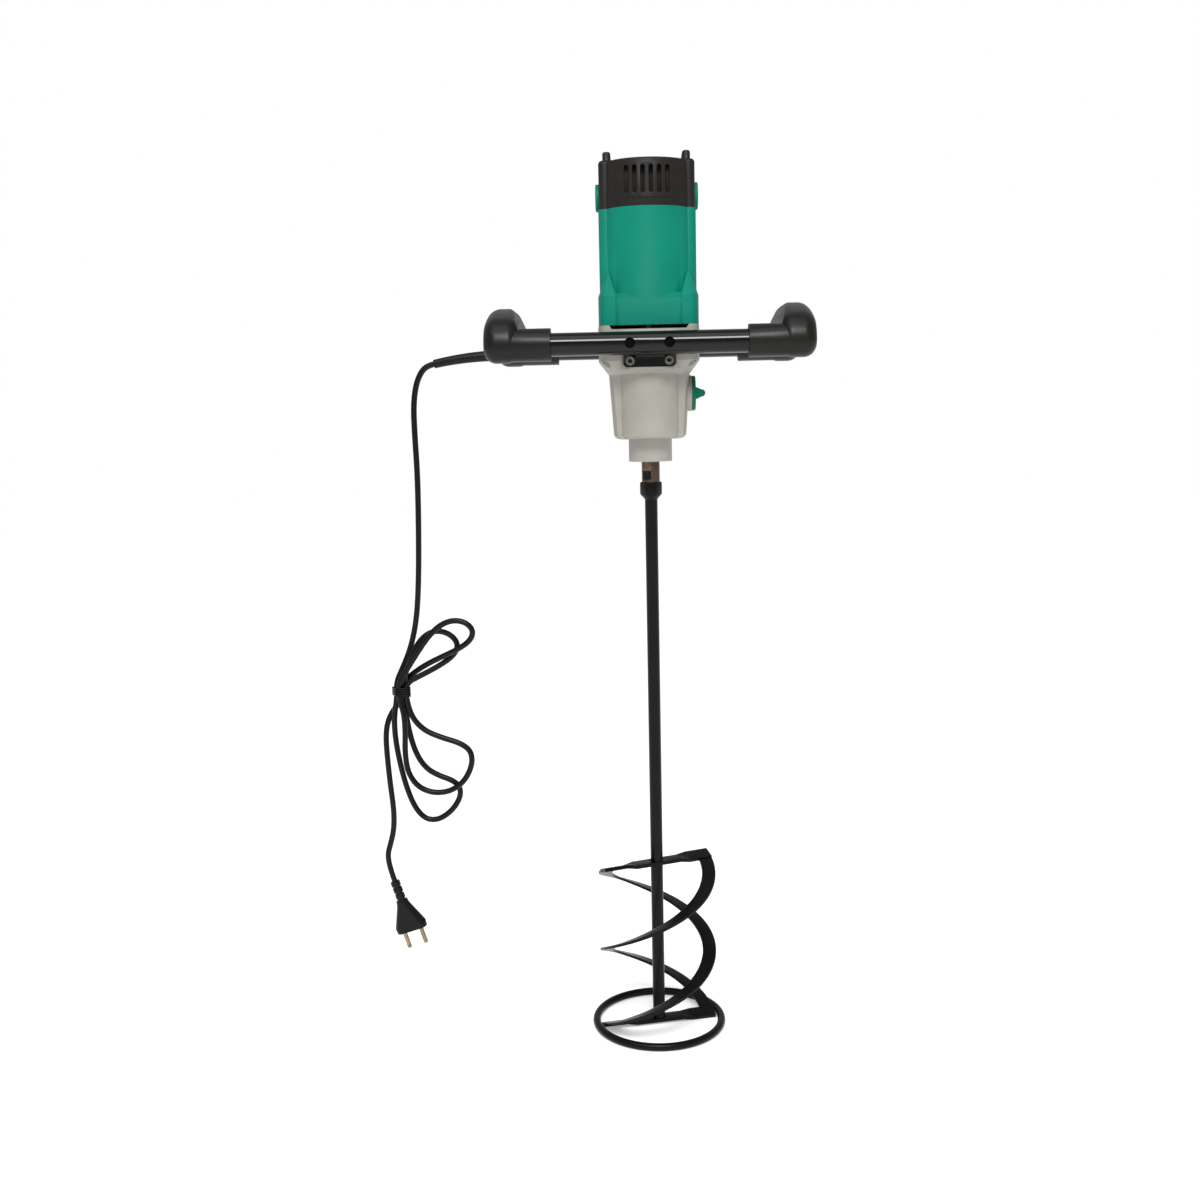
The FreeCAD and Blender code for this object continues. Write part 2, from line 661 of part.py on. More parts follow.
def gearbox_holes():
    """Bearing and bush seats, screw holes, exhaust slots and the selector's bore."""
    bearing_top = SPINDLE_BEARING_Z + SPINDLE_BEARING_WIDTH
    floor = COLLAR_LENGTH + GEARBOX_FLOOR
    holes = [disc(SPINDLE_BEARING_OUTER + FIT, -1, bearing_top),
             disc(SPINDLE_NOSE_RADIUS + 2, bearing_top, floor + 1),
             disc(BUSH_OUTER + FIT, COUNTERSHAFT_BOTTOM_Z, floor + 1, 0, CENTRE_DISTANCE),
             disc(FORK_ROD_RADIUS + FIT, floor - FORK_ROD_SEAT, floor + 1, FORK_ROD_X, FORK_ROD_Y),
             rod(SELECTOR_SHAFT_RADIUS + RUNNING, V(0, 0, SELECTOR_Z), V(SELECTOR_BOSS_X + 1, 0, SELECTOR_Z))]
    slot = profile_solid([V(-EXHAUST_SLOT_HALF, 0, FLANGE_TOP_Z), V(EXHAUST_SLOT_HALF, 0, FLANGE_TOP_Z),
                          V(EXHAUST_SLOT_HALF - EXHAUST_SLOT_SLANT, 0, FLANGE_TOP_Z - EXHAUST_SLOT_HEIGHT),
                          V(EXHAUST_SLOT_SLANT - EXHAUST_SLOT_HALF, 0, FLANGE_TOP_Z - EXHAUST_SLOT_HEIGHT)],
                         V(0, 2 * PAD_Y, 0))
    slot.translate(V(0, -PAD_Y, 0))
    holes.append(slot)
    for x in (-FLANGE_SCREW_OFFSET, FLANGE_SCREW_OFFSET):
        for y in (-FLANGE_SCREW_OFFSET, FLANGE_SCREW_OFFSET):
            holes.append(disc(FLANGE_SCREW_HEAD_RADIUS + HEAD_CLEARANCE, COLLAR_LENGTH, FLANGE_SCREW_SEAT_Z, x, y))
            holes.append(disc(FLANGE_SCREW_RADIUS + FIT, FLANGE_SCREW_SEAT_Z, FLANGE_TOP_Z + 1, x, y))
    for side in (-1, 1):
        for x in (-BOLT_X, BOLT_X):
            holes.append(rod(SCREW_RADIUS + FIT, V(x, side * BOLT_TIP_Y, BRACKET_SCREW_Z),
                             V(x, side * (PAD_Y + 1), BRACKET_SCREW_Z)))
            holes.append(rod(TUBE_BOLT_RADIUS + FIT, V(x, side * BOLT_TIP_Y, TUBE_Z),
                             V(x, side * (PAD_Y + 1), TUBE_Z)))
    return holes


def inner_plate():
    """Plate that carries the upper spindle bearing and lets the countershaft through."""
    plate = prism(bulged_square(INNER_PLATE_HALF, INNER_PLATE_Z, GEARBOX_SIDE_RADIUS,
                                GEARBOX_CORNER_RADIUS - CASTING_WALL), INNER_PLATE_THICKNESS)
    seat = disc(TOP_BEARING_OUTER + FIT, INNER_PLATE_Z, INNER_PLATE_Z + TOP_BEARING_WIDTH)
    through = disc(TOP_BEARING_OUTER - BEARING_LIP, INNER_PLATE_Z, INNER_PLATE_Z + INNER_PLATE_THICKNESS)
    passage = disc(COUNTERSHAFT_SEAT + SHAFT_PASSAGE, INNER_PLATE_Z, INNER_PLATE_Z + INNER_PLATE_THICKNESS, 0,
                   CENTRE_DISTANCE)
    rod_seat = disc(FORK_ROD_RADIUS + FIT, INNER_PLATE_Z, INNER_PLATE_Z + FORK_ROD_SEAT, FORK_ROD_X, FORK_ROD_Y)
    return cut_all(plate, [seat, through, passage, rod_seat])


def motor_plate():
    """Bearing plate between gearbox and motor."""
    top = MOTOR_PLATE_Z + MOTOR_PLATE_THICKNESS
    plate = prism(bulged_square(MOTOR_PLATE_HALF, MOTOR_PLATE_Z, FLANGE_SIDE_RADIUS, GEARBOX_CORNER_RADIUS),
                  MOTOR_PLATE_THICKNESS)
    seat = disc(MOTOR_BEARING_OUTER + FIT, top - MOTOR_BEARING_WIDTH, top)
    through = disc(MOTOR_BEARING_OUTER - BEARING_LIP, MOTOR_PLATE_Z, top)
    bush = disc(BUSH_OUTER + FIT, MOTOR_PLATE_Z, BUSH_TOP_Z + BUSH_LENGTH, 0, CENTRE_DISTANCE)
    notches = []
    for x in (-FLANGE_SCREW_OFFSET, FLANGE_SCREW_OFFSET):
        for y in (-FLANGE_SCREW_OFFSET, FLANGE_SCREW_OFFSET):
            notches.append(disc(FLANGE_SCREW_RADIUS + FIT, MOTOR_PLATE_Z, top, x, y))
    return cut_all(plate, [seat, through, bush] + notches)


def flange_screws():
    """Four screws that hold the motor housing to the gearbox, heads in the corner pockets."""
    screws = []
    for x in (-FLANGE_SCREW_OFFSET, FLANGE_SCREW_OFFSET):
        for y in (-FLANGE_SCREW_OFFSET, FLANGE_SCREW_OFFSET):
            head = disc(FLANGE_SCREW_HEAD_RADIUS, FLANGE_SCREW_SEAT_Z - FLANGE_SCREW_HEAD,
                        FLANGE_SCREW_SEAT_Z, x, y)
            socket = hexagon(FLANGE_SCREW_HEAD_RADIUS, FLANGE_SCREW_SEAT_Z - FLANGE_SCREW_HEAD,
                             FLANGE_SCREW_SEAT_Z - FLANGE_SCREW_HEAD / 2, x, y)
            shank = disc(FLANGE_SCREW_RADIUS, FLANGE_SCREW_SEAT_Z, FLANGE_SCREW_SEAT_Z + FLANGE_SCREW_LENGTH,
                         x, y)
            screws.append(fused([head, shank]).cut(socket))
    return Part.makeCompound(screws)


# Motor casing
def side_pads(half_x, bottom, top):
    """Block through the casing whose rounded ends are the side pads."""
    pads = block(-half_x, half_x, -SIDE_PAD_HALF, SIDE_PAD_HALF, bottom, top)
    corners = [e for e in pads.Edges if e.BoundBox.ZLength > 1]
    return pads.makeFillet(SIDE_PAD_CORNER, corners)


def corner_post():
    """Square post at one corner of the skirt, drawn in to a point on the side pad's edge."""
    far = 2 * FLANGE_HALF
    square = prism(bulged_square(FLANGE_HALF, FLANGE_TOP_Z, FLANGE_SIDE_RADIUS, FLANGE_CORNER_RADIUS),
                   POST_TOP_Z - FLANGE_TOP_Z)
    post = square.common(block(POST_INNER_X, far, -far, -SIDE_PAD_HALF, FLANGE_TOP_Z, POST_TOP_Z))
    top = [f for f in post.Faces if f.BoundBox.ZMin > POST_TOP_Z - TOUCH][0].OuterWire
    point = top.copy()
    point.scale(GUSSET_TIP, V(math.sqrt(HOUSING_RADIUS ** 2 - SIDE_PAD_HALF ** 2), -SIDE_PAD_HALF,
                              POST_TOP_Z))
    point.translate(V(0, 0, GUSSET_TOP_Z - POST_TOP_Z))
    return fused([post, loft([top, point])])


def motor_housing():
    """Green motor housing: round body with side pads, skirt panels and four pointed corner posts."""
    body = disc(HOUSING_RADIUS, FLANGE_TOP_Z, HOUSING_TOP_Z)
    panel = FLANGE_HALF - SKIRT_INSET
    skirt = prism(bulged_square(panel, FLANGE_TOP_Z, FLANGE_SIDE_RADIUS, FLANGE_CORNER_RADIUS),
                  SKIRT_TOP_Z - FLANGE_TOP_Z)
    bevel = loft([bulged_square(panel, SKIRT_TOP_Z, FLANGE_SIDE_RADIUS, FLANGE_CORNER_RADIUS),
                  bulged_square(panel - SKIRT_BEVEL_INSET, SKIRT_BEVEL_Z, FLANGE_SIDE_RADIUS,
                                FLANGE_CORNER_RADIUS)])
    post = corner_post()
    posts = [post, mirrored(post, X_AXIS), mirrored(post, Y_AXIS), turned_about_z(post, 180)]
    outside = fused([body, side_pads(SIDE_PAD, FLANGE_TOP_Z, HOUSING_TOP_Z), skirt, bevel] + posts)
    bore = disc(HOUSING_RADIUS - HOUSING_WALL, FLANGE_TOP_Z, HOUSING_TOP_Z)
    pillars = []
    holes = []
    for x in (-COVER_SCREW_OFFSET, COVER_SCREW_OFFSET):
        for y in (-COVER_SCREW_OFFSET, COVER_SCREW_OFFSET):
            pillars.append(disc(PILLAR_RADIUS, HOUSING_TOP_Z - PILLAR_DROP, HOUSING_TOP_Z, x, y))
            holes.append(disc(COVER_SCREW_RADIUS + FIT, HOUSING_TOP_Z - PILLAR_DROP, HOUSING_TOP_Z, x, y))
    for x in (-FLANGE_SCREW_OFFSET, FLANGE_SCREW_OFFSET):
        for y in (-FLANGE_SCREW_OFFSET, FLANGE_SCREW_OFFSET):
            holes.append(disc(FLANGE_SCREW_RADIUS + FIT, FLANGE_TOP_Z,
                              FLANGE_SCREW_SEAT_Z + FLANGE_SCREW_LENGTH + FIT, x, y))
    limit = disc(HOUSING_RADIUS, HOUSING_TOP_Z - PILLAR_DROP, HOUSING_TOP_Z)
    inner = [pillar.common(limit) for pillar in pillars]
    return cut_all(fused([outside.cut(bore)] + inner), holes)


def cover_shell(inset):
    """Turned outline of the cover, inset by a wall."""
    radius = COVER_RADIUS - inset
    edge = COVER_EDGE_Z
    top = COVER_TOP_Z - inset
    bend = COVER_EDGE_ROUND - inset / 2
    shoulder = radius - bend
    dome_z = edge - inset + bend
    dome_radius = (shoulder ** 2 + (top - dome_z) ** 2) / (2 * (top - dome_z))
    half_angle = math.asin(shoulder / dome_radius) / 2
    edges = [Part.makeLine(V(0, 0, HOUSING_TOP_Z), V(radius, 0, HOUSING_TOP_Z)),
             Part.makeLine(V(radius, 0, HOUSING_TOP_Z), V(radius, 0, edge - inset)),
             three_point(V(radius, 0, edge - inset),
                         V(shoulder + bend * math.sqrt(0.5), 0, edge - inset + bend * math.sqrt(0.5)),
                         V(shoulder, 0, dome_z)),
             three_point(V(shoulder, 0, dome_z),
                         V(dome_radius * math.sin(half_angle), 0, top
                           - dome_radius * (1 - math.cos(half_angle))),
                         V(0, 0, top)),
             Part.makeLine(V(0, 0, top), V(0, 0, HOUSING_TOP_Z))]
    return Part.Face(Part.Wire(edges)).revolve(ORIGIN, Z_AXIS, 360)


def upright_slot(x, width, y0, y1, bottom, top):
    """Slot tool with round ends, standing upright and running along Y."""
    low = bottom + width / 2
    high = top - width / 2
    return fused([block(x - width / 2, x + width / 2, y0, y1, low, high),
                  rod(width / 2, V(x, y0, low), V(x, y1, low)),
                  rod(width / 2, V(x, y0, high), V(x, y1, high))])


def vent_panel_outline():
    """Block with round corners that bounds the raised panels round the vents."""
    panel = block(-VENT_PANEL_WIDTH / 2, VENT_PANEL_WIDTH / 2, -2 * COVER_RADIUS, 2 * COVER_RADIUS,
                  VENT_BOTTOM_Z - VENT_PANEL_MARGIN, VENT_TOP_Z + VENT_PANEL_TOP_MARGIN)
    corners = [e for e in panel.Edges if e.BoundBox.YLength > 1]
    return panel.makeFillet(VENT_PANEL_CORNER, corners)


def motor_cover():
    """Black end cover: domed shell, vents with air guides, foot ribs, brush flats and bearing seat."""
    flats = side_pads(COVER_FLAT, HOUSING_TOP_Z, COVER_FLAT_TOP_Z)
    flats = flats.makeFillet(COVER_FLAT_ROUND, edges_at(flats, COVER_FLAT_TOP_Z))
    vent_panel = ring(COVER_RADIUS + VENT_PANEL_PROUD, COVER_RADIUS - 1, HOUSING_TOP_Z, COVER_EDGE_Z)
    vent_panel = vent_panel.common(vent_panel_outline())
    ribs = []
    for side in (-1, 1):
        rib = block(side * FOOT_RIB_X - FOOT_RIB_WIDTH / 2, side * FOOT_RIB_X + FOOT_RIB_WIDTH / 2,
                    -FOOT_RIB_LENGTH / 2, FOOT_RIB_LENGTH / 2, COVER_FLAT_TOP_Z - COVER_WALL, FOOT_RIB_TOP_Z)
        ends = [e for e in rib.Edges if e.BoundBox.ZLength > 1]
        rib = rib.makeFillet(FOOT_RIB_WIDTH * 0.4, ends)
        ribs.append(rib.makeFillet(FOOT_RIB_ROUND, edges_at(rib, FOOT_RIB_TOP_Z)))
    outside = fused([cover_shell(0), flats, vent_panel] + ribs)
    seat_top = ARMATURE_TOP_BEARING_Z + ARMATURE_TOP_BEARING_WIDTH
    seat_bottom = COMMUTATOR_TOP_Z + 1
    seat = disc(ARMATURE_TOP_BEARING_OUTER + COVER_WALL, seat_bottom, COVER_TOP_Z)
    web_bottom = BRUSH_Z + BRUSH_HOLDER_RADIUS + MOVING_GAP
    web = block(BRUSH_WEB_INNER_X, COVER_FLAT - COVER_WALL, -BRUSH_WEB / 2, BRUSH_WEB / 2, web_bottom,
                COVER_TOP_Z)
    guide = block(-AIR_GUIDE_HALF, AIR_GUIDE_HALF, AIR_GUIDE_Y - AIR_GUIDE / 2, AIR_GUIDE_Y + AIR_GUIDE / 2,
                  AIR_GUIDE_BOTTOM_Z, COVER_TOP_Z)
    pillars = [web, mirrored(web, X_AXIS), guide, mirrored(guide, Y_AXIS)]
    holes = [disc(ARMATURE_TOP_BEARING_OUTER + FIT, seat_bottom, seat_top),
             disc(ARMATURE_TOP_BEARING_OUTER - 2, seat_top, seat_top + 2)]
    for x in (-COVER_SCREW_OFFSET, COVER_SCREW_OFFSET):
        for y in (-COVER_SCREW_OFFSET, COVER_SCREW_OFFSET):
            pillars.append(disc(PILLAR_RADIUS, HOUSING_TOP_Z, COVER_TOP_Z, x, y))
            holes.append(disc(COVER_SCREW_RADIUS + FIT, HOUSING_TOP_Z, COVER_SCREW_SEAT_Z, x, y))
            holes.append(disc(COVER_SCREW_HEAD_RADIUS + HEAD_CLEARANCE, COVER_SCREW_SEAT_Z, FOOT_RIB_TOP_Z, x, y))
    holes.append(rod(BRUSH_HOLDER_RADIUS + FIT, V(-SIDE_PAD, 0, BRUSH_Z), V(SIDE_PAD, 0, BRUSH_Z)))
    for i in range(VENT_COUNT):
        x = (i - (VENT_COUNT - 1) / 2) * VENT_PITCH
        for side in (-1, 1):
            near = side * COVER_RADIUS * 0.75
            far = side * (COVER_RADIUS + 4)
            holes.append(upright_slot(x, VENT_WIDTH, min(near, far), max(near, far), VENT_BOTTOM_Z,
                                      VENT_TOP_Z))
    hollow = cut_all(cover_shell(COVER_WALL), [seat] + pillars)
    return cut_all(outside, [hollow] + holes)


def cover_screws():
    """Four screws down through the cover's pillars."""
    screws = []
    for x in (-COVER_SCREW_OFFSET, COVER_SCREW_OFFSET):
        for y in (-COVER_SCREW_OFFSET, COVER_SCREW_OFFSET):
            head = disc(COVER_SCREW_HEAD_RADIUS, COVER_SCREW_SEAT_Z, COVER_SCREW_SEAT_Z + COVER_SCREW_HEAD, x,
                        y)
            shank = disc(COVER_SCREW_RADIUS, COVER_SCREW_SEAT_Z - COVER_SCREW_LENGTH, COVER_SCREW_SEAT_Z, x,
                         y)
            screws.append(fused([head, shank]))
    return Part.makeCompound(screws)


def brush_caps():
    """Two screw caps over the brushes, each with a coin slot."""
    top = COVER_FLAT + BRUSH_CAP_HEIGHT
    head = rod(BRUSH_CAP_RADIUS, V(COVER_FLAT, 0, BRUSH_Z), V(top, 0, BRUSH_Z))
    rim = [e for e in head.Edges if level(e.BoundBox.XMin, e.BoundBox.XMax, top)]
    head = head.makeFillet(BRUSH_CAP_ROUND, rim)
    stem = rod(BRUSH_STEM_RADIUS, V(COVER_FLAT - BRUSH_STEM_LENGTH, 0, BRUSH_Z), V(COVER_FLAT, 0, BRUSH_Z))
    slot = block(top - COIN_SLOT_DEPTH, top + 1, -BRUSH_CAP_RADIUS * 0.7, BRUSH_CAP_RADIUS * 0.7,
                 BRUSH_Z - COIN_SLOT_WIDTH / 2, BRUSH_Z + COIN_SLOT_WIDTH / 2)
    return both_sides(fused([head, stem]).cut(slot), X_AXIS)


# Handle
def handle_tube(side):
    """One cross tube with access holes in its outer wall and bolt holes in its inner wall."""
    y = side * TUBE_Y
    tube = rod(TUBE_RADIUS, V(-TUBE_HALF_LENGTH, y, TUBE_Z), V(TUBE_HALF_LENGTH, y, TUBE_Z))
    bore = rod(TUBE_RADIUS - TUBE_WALL, V(-TUBE_HALF_LENGTH, y, TUBE_Z), V(TUBE_HALF_LENGTH, y, TUBE_Z))
    holes = [bore]
    for x in (-BOLT_X, BOLT_X):
        holes.append(rod(TUBE_ACCESS_RADIUS, V(x, y, TUBE_Z),
                         V(x, side * (TUBE_Y + 2 * TUBE_RADIUS), TUBE_Z)))
        holes.append(rod(TUBE_BOLT_RADIUS + FIT, V(x, side * BOLT_TIP_Y, TUBE_Z), V(x, y, TUBE_Z)))
    return cut_all(tube, holes)


def handle_bracket():
    """Bracket with a saddle for the tube above a flange for two screws."""
    plate = block(-BRACKET_HALF, BRACKET_HALF, PAD_Y, PAD_Y + BRACKET_THICKNESS, BRACKET_BOTTOM_Z,
                  BRACKET_TOP_Z)
    saddle = block(-BRACKET_HALF, BRACKET_HALF, PAD_Y, PAD_Y + BRACKET_THICKNESS + SADDLE_DEPTH,
                   TUBE_Z - TUBE_RADIUS, BRACKET_TOP_Z)
    corners = [e for e in plate.Edges if e.BoundBox.XLength < TOUCH and e.BoundBox.ZLength < TOUCH
               and e.BoundBox.ZMin < TUBE_Z - TUBE_RADIUS]
    plate = plate.makeFillet(SCREW_HEAD_RADIUS, corners)
    tools = [rod(TUBE_RADIUS, V(-BRACKET_HALF, TUBE_Y, TUBE_Z), V(BRACKET_HALF, TUBE_Y, TUBE_Z))]
    for x in (-BOLT_X, BOLT_X):
        tools.append(rod(SCREW_RADIUS + FIT, V(x, PAD_Y, BRACKET_SCREW_Z), V(x, TUBE_Y, BRACKET_SCREW_Z)))
        tools.append(rod(TUBE_BOLT_RADIUS + FIT, V(x, PAD_Y, TUBE_Z), V(x, TUBE_Y, TUBE_Z)))
    return cut_all(fused([plate, saddle]), tools)


def bracket_screws():
    """Socket screws through the brackets' lower flanges."""
    seat = PAD_Y + BRACKET_THICKNESS
    screws = []
    for x in (-BOLT_X, BOLT_X):
        shank = rod(SCREW_RADIUS, V(x, BOLT_TIP_Y + FIT, BRACKET_SCREW_Z), V(x, seat, BRACKET_SCREW_Z))
        head = rod(SCREW_HEAD_RADIUS, V(x, seat, BRACKET_SCREW_Z), V(x, seat + SCREW_HEAD, BRACKET_SCREW_Z))
        socket = hexagon(SOCKET_FLAT, 0, SOCKET_DEPTH)
        socket.rotate(ORIGIN, X_AXIS, 90)
        socket.translate(V(x, seat + SCREW_HEAD, BRACKET_SCREW_Z))
        screw = fused([shank, head]).cut(socket)
        screws += [screw, mirrored(screw, Y_AXIS)]
    return Part.makeCompound(screws)


def tube_bolts():
    """Button-head bolts inside the tubes that clamp them on their saddles."""
    inner = TUBE_RADIUS - TUBE_WALL
    seat = TUBE_Y - math.sqrt(inner ** 2 - TUBE_BOLT_HEAD_RADIUS ** 2) + FIT
    bolts = []
    for x in (-BOLT_X, BOLT_X):
        shank = rod(TUBE_BOLT_RADIUS, V(x, BOLT_TIP_Y + FIT, TUBE_Z), V(x, seat, TUBE_Z))
        head = rod(TUBE_BOLT_HEAD_RADIUS, V(x, seat, TUBE_Z), V(x, seat + TUBE_BOLT_HEAD, TUBE_Z))
        bolt = fused([shank, head])
        bolts += [bolt, mirrored(bolt, Y_AXIS)]
    return Part.makeCompound(bolts)


def crest_radius(half_span, rise, end_radius):
    """Radius of the flat crest arc between two end arcs that start upright."""
    offset = half_span - end_radius
    return (offset ** 2 + rise ** 2 - end_radius ** 2) / (2 * (rise - end_radius))


def crest_arcs(half_span, rise, end_radius, x):
    """End arc, crest arc and end arc of one side of the grip's outline, front to rear."""
    crest = crest_radius(half_span, rise, end_radius)
    centre_z = TUBE_Z + rise - crest
    end_y = half_span - end_radius
    reach = math.hypot(end_y, TUBE_Z - centre_z)
    join_y = end_y * crest / reach
    join_z = centre_z + (TUBE_Z - centre_z) * crest / reach
    half_angle = math.atan2(TUBE_Z - centre_z, end_y) / 2
    middle_y = end_y + end_radius * math.cos(half_angle)
    middle_z = TUBE_Z + end_radius * math.sin(half_angle)
    front = three_point(V(x, -half_span, TUBE_Z), V(x, -middle_y, middle_z), V(x, -join_y, join_z))
    top = three_point(V(x, -join_y, join_z), V(x, 0, TUBE_Z + rise), V(x, join_y, join_z))
    rear = three_point(V(x, join_y, join_z), V(x, middle_y, middle_z), V(x, half_span, TUBE_Z))
    return [front, top, rear]


def grip_form(inset, x_inner, x_outer, rounding):
    """Rounded bow of a grip, inset by a wall, between two planes."""
    foot = GRIP_FOOT_RADIUS - inset
    outer = crest_arcs(TUBE_Y + foot, GRIP_TOP_Z - TUBE_Z - inset, GRIP_SHOULDER_RADIUS - inset, x_inner)
    inner = crest_arcs(TUBE_Y - foot, GRIP_UNDER_Z - TUBE_Z + inset, GRIP_THROAT_RADIUS + inset, x_inner)
    feet = []
    for side in (-1, 1):
        feet.append(three_point(V(x_inner, side * (TUBE_Y + foot), TUBE_Z),
                                V(x_inner, side * TUBE_Y, TUBE_Z - foot),
                                V(x_inner, side * (TUBE_Y - foot), TUBE_Z)))
    outline = Part.Wire(Part.__sortEdges__(outer + inner + feet))
    form = Part.Face(outline).extrude(V(x_outer - x_inner, 0, 0))
    rims = [e for e in form.Edges if e.BoundBox.XLength < TOUCH]
    return form.makeFillet(rounding, rims).cut(flank_trim(inset))


def flank_x(z):
    """Inner face of a grip at a height, where it leans outwards above its foot."""
    return GRIP_INNER_X + GRIP_FLANK_LEAN * (z - GRIP_FLANK_Z) / (GRIP_TOP_Z - GRIP_FLANK_Z)


def flank_inset(inset):
    """Distance along X that stands for a wall measured square to the leaning face."""
    return inset * math.hypot(GRIP_FLANK_LEAN, GRIP_TOP_Z - GRIP_FLANK_Z) / (GRIP_TOP_Z - GRIP_FLANK_Z)


def flank_trim(inset):
    """Tool that leans a grip's inner face and rounds it into the crest."""
    shift = flank_inset(inset)
    radius = GRIP_FLANK_ROUND - inset
    lean = math.atan2(GRIP_FLANK_LEAN, GRIP_TOP_Z - GRIP_FLANK_Z)
    top = GRIP_TOP_Z - inset
    centre_z = top - radius
    centre_x = flank_x(centre_z) + shift + radius / math.cos(lean)
    tangent = V(centre_x - radius * math.cos(lean), 0, centre_z + radius * math.sin(lean))
    half = (math.pi / 2 + lean) / 2
    middle = V(centre_x - radius * math.cos(half), 0, centre_z + radius * math.sin(half))
    far_x = GRIP_INNER_X - 2 * GRIP_FOOT_RADIUS
    far_z = GRIP_TOP_Z + GRIP_FOOT_RADIUS
    foot = V(GRIP_INNER_X + shift, 0, GRIP_FLANK_Z)
    crest = V(centre_x, 0, top)
    edges = [Part.makeLine(V(far_x, 0, GRIP_FLANK_Z), foot), Part.makeLine(foot, tangent),
             three_point(tangent, middle, crest), Part.makeLine(crest, V(centre_x, 0, far_z)),
             Part.makeLine(V(centre_x, 0, far_z), V(far_x, 0, far_z)),
             Part.makeLine(V(far_x, 0, far_z), V(far_x, 0, GRIP_FLANK_Z))]
    reach = 2 * TUBE_Y
    trim = Part.Face(Part.Wire(edges)).extrude(V(0, 2 * reach, 0))
    trim.translate(V(0, -reach, 0))
    return trim


def grip_halves():
    """Right grip as an inner half with tube sleeves and an outer cover half."""
    outside = grip_form(0, GRIP_INNER_X, GRIP_OUTER_X, GRIP_ROUND)
    hollow = grip_form(GRIP_WALL, GRIP_INNER_X + GRIP_WALL, GRIP_OUTER_X - GRIP_WALL, GRIP_ROUND - GRIP_WALL)
    reach = 4 * GRIP_FOOT_RADIUS
    outer_space = block(GRIP_SEAM_X, GRIP_OUTER_X + reach, -TUBE_Y - reach, TUBE_Y + reach, TUBE_Z - reach,
                        GRIP_TOP_Z + reach)
    inner_space = block(GRIP_INNER_X - reach, GRIP_SEAM_X, -TUBE_Y - reach, TUBE_Y + reach, TUBE_Z - reach,
                        GRIP_TOP_Z + reach)
    sleeves = []
    bores = []
    for side in (-1, 1):
        sleeves.append(rod(SLEEVE_RADIUS, V(SLEEVE_END_X, side * TUBE_Y, TUBE_Z),
                           V(GRIP_INNER_X + GRIP_ROUND, side * TUBE_Y, TUBE_Z)))
        bores.append(rod(TUBE_RADIUS + FIT, V(SLEEVE_END_X, side * TUBE_Y, TUBE_Z),
                         V(TUBE_HALF_LENGTH, side * TUBE_Y, TUBE_Z)))
    bosses = []
    screw_holes = []
    head_seats = []
    head_seat_x = GRIP_OUTER_X - GRIP_WALL
    for side in (-1, 1):
        centre = V(0, side * GRIP_SCREW_Y, GRIP_SCREW_Z)
        bosses.append(rod(GRIP_BOSS_RADIUS, V(GRIP_INNER_X + 1, 0, 0) + centre, V(GRIP_OUTER_X - 1, 0, 0)
                          + centre))
        screw_holes.append(rod(GRIP_SCREW_RADIUS + FIT, V(GRIP_SCREW_TIP_X, 0, 0) + centre,
                               V(GRIP_OUTER_X, 0, 0) + centre))
        head_seats.append(rod(GRIP_SCREW_HEAD_RADIUS + HEAD_CLEARANCE, V(head_seat_x - GRIP_SCREW_HEAD, 0, 0) + centre,
                              V(GRIP_OUTER_X + 1, 0, 0) + centre))
    shell = fused([outside] + sleeves).cut(hollow)
    shell = fused([shell] + [boss.common(outside) for boss in bosses])
    shell = cut_all(shell, bores + screw_holes)
    return shell.common(inner_space), cut_all(shell.common(outer_space), head_seats)


def grip_screws():
    """Two screws in each grip's cover half."""
    seat = GRIP_OUTER_X - GRIP_WALL - GRIP_SCREW_HEAD
    screws = []
    for side in (-1, 1):
        centre = V(0, side * GRIP_SCREW_Y, GRIP_SCREW_Z)
        shank = rod(GRIP_SCREW_RADIUS, V(GRIP_SCREW_TIP_X + 1, 0, 0) + centre, V(seat, 0, 0) + centre)
        head = rod(GRIP_SCREW_HEAD_RADIUS, V(seat, 0, 0) + centre, V(seat + GRIP_SCREW_HEAD, 0, 0) + centre)
        screw = fused([shank, head])
        screws += [screw, mirrored(screw, X_AXIS)]
    return Part.makeCompound(screws)


def trigger_lip_z():
    """Underside of the trigger's lip, above the grip's floor and its rounded edges."""
    return GRIP_UNDER_Z + GRIP_WALL + TRIGGER_SEAT


def trigger_slot():
    """Opening in the underside of the left grip."""
    centre = -(GRIP_INNER_X + GRIP_OUTER_X) / 2
    width = TRIGGER_HALF_WIDTH + MOVING_GAP
    length = TRIGGER_HALF_LENGTH + MOVING_GAP
    return block(centre - width, centre + width, -length, length, TRIGGER_BOTTOM_Z, trigger_lip_z())


def trigger():
    """Paddle trigger with a lip that keeps it in the grip."""
    centre = -(GRIP_INNER_X + GRIP_OUTER_X) / 2
    lip_z = trigger_lip_z()
    paddle = block(centre - TRIGGER_HALF_WIDTH, centre + TRIGGER_HALF_WIDTH, -TRIGGER_HALF_LENGTH,
                   TRIGGER_HALF_LENGTH,
                   TRIGGER_BOTTOM_Z, lip_z)
    paddle = paddle.makeFillet(TRIGGER_ROUND, edges_at(paddle, TRIGGER_BOTTOM_Z))
    lip = block(centre - TRIGGER_HALF_WIDTH - TRIGGER_LIP, centre + TRIGGER_HALF_WIDTH + TRIGGER_LIP,
                -TRIGGER_HALF_LENGTH - TRIGGER_LIP, TRIGGER_HALF_LENGTH + TRIGGER_LIP, lip_z,
                lip_z + TRIGGER_LIP_HEIGHT)
    return fused([paddle, lip])


def switch_floor_z():
    """Underside of the switch, clear of the pressed trigger."""
    return trigger_lip_z() + TRIGGER_LIP_HEIGHT + TRIGGER_TRAVEL + MOVING_GAP


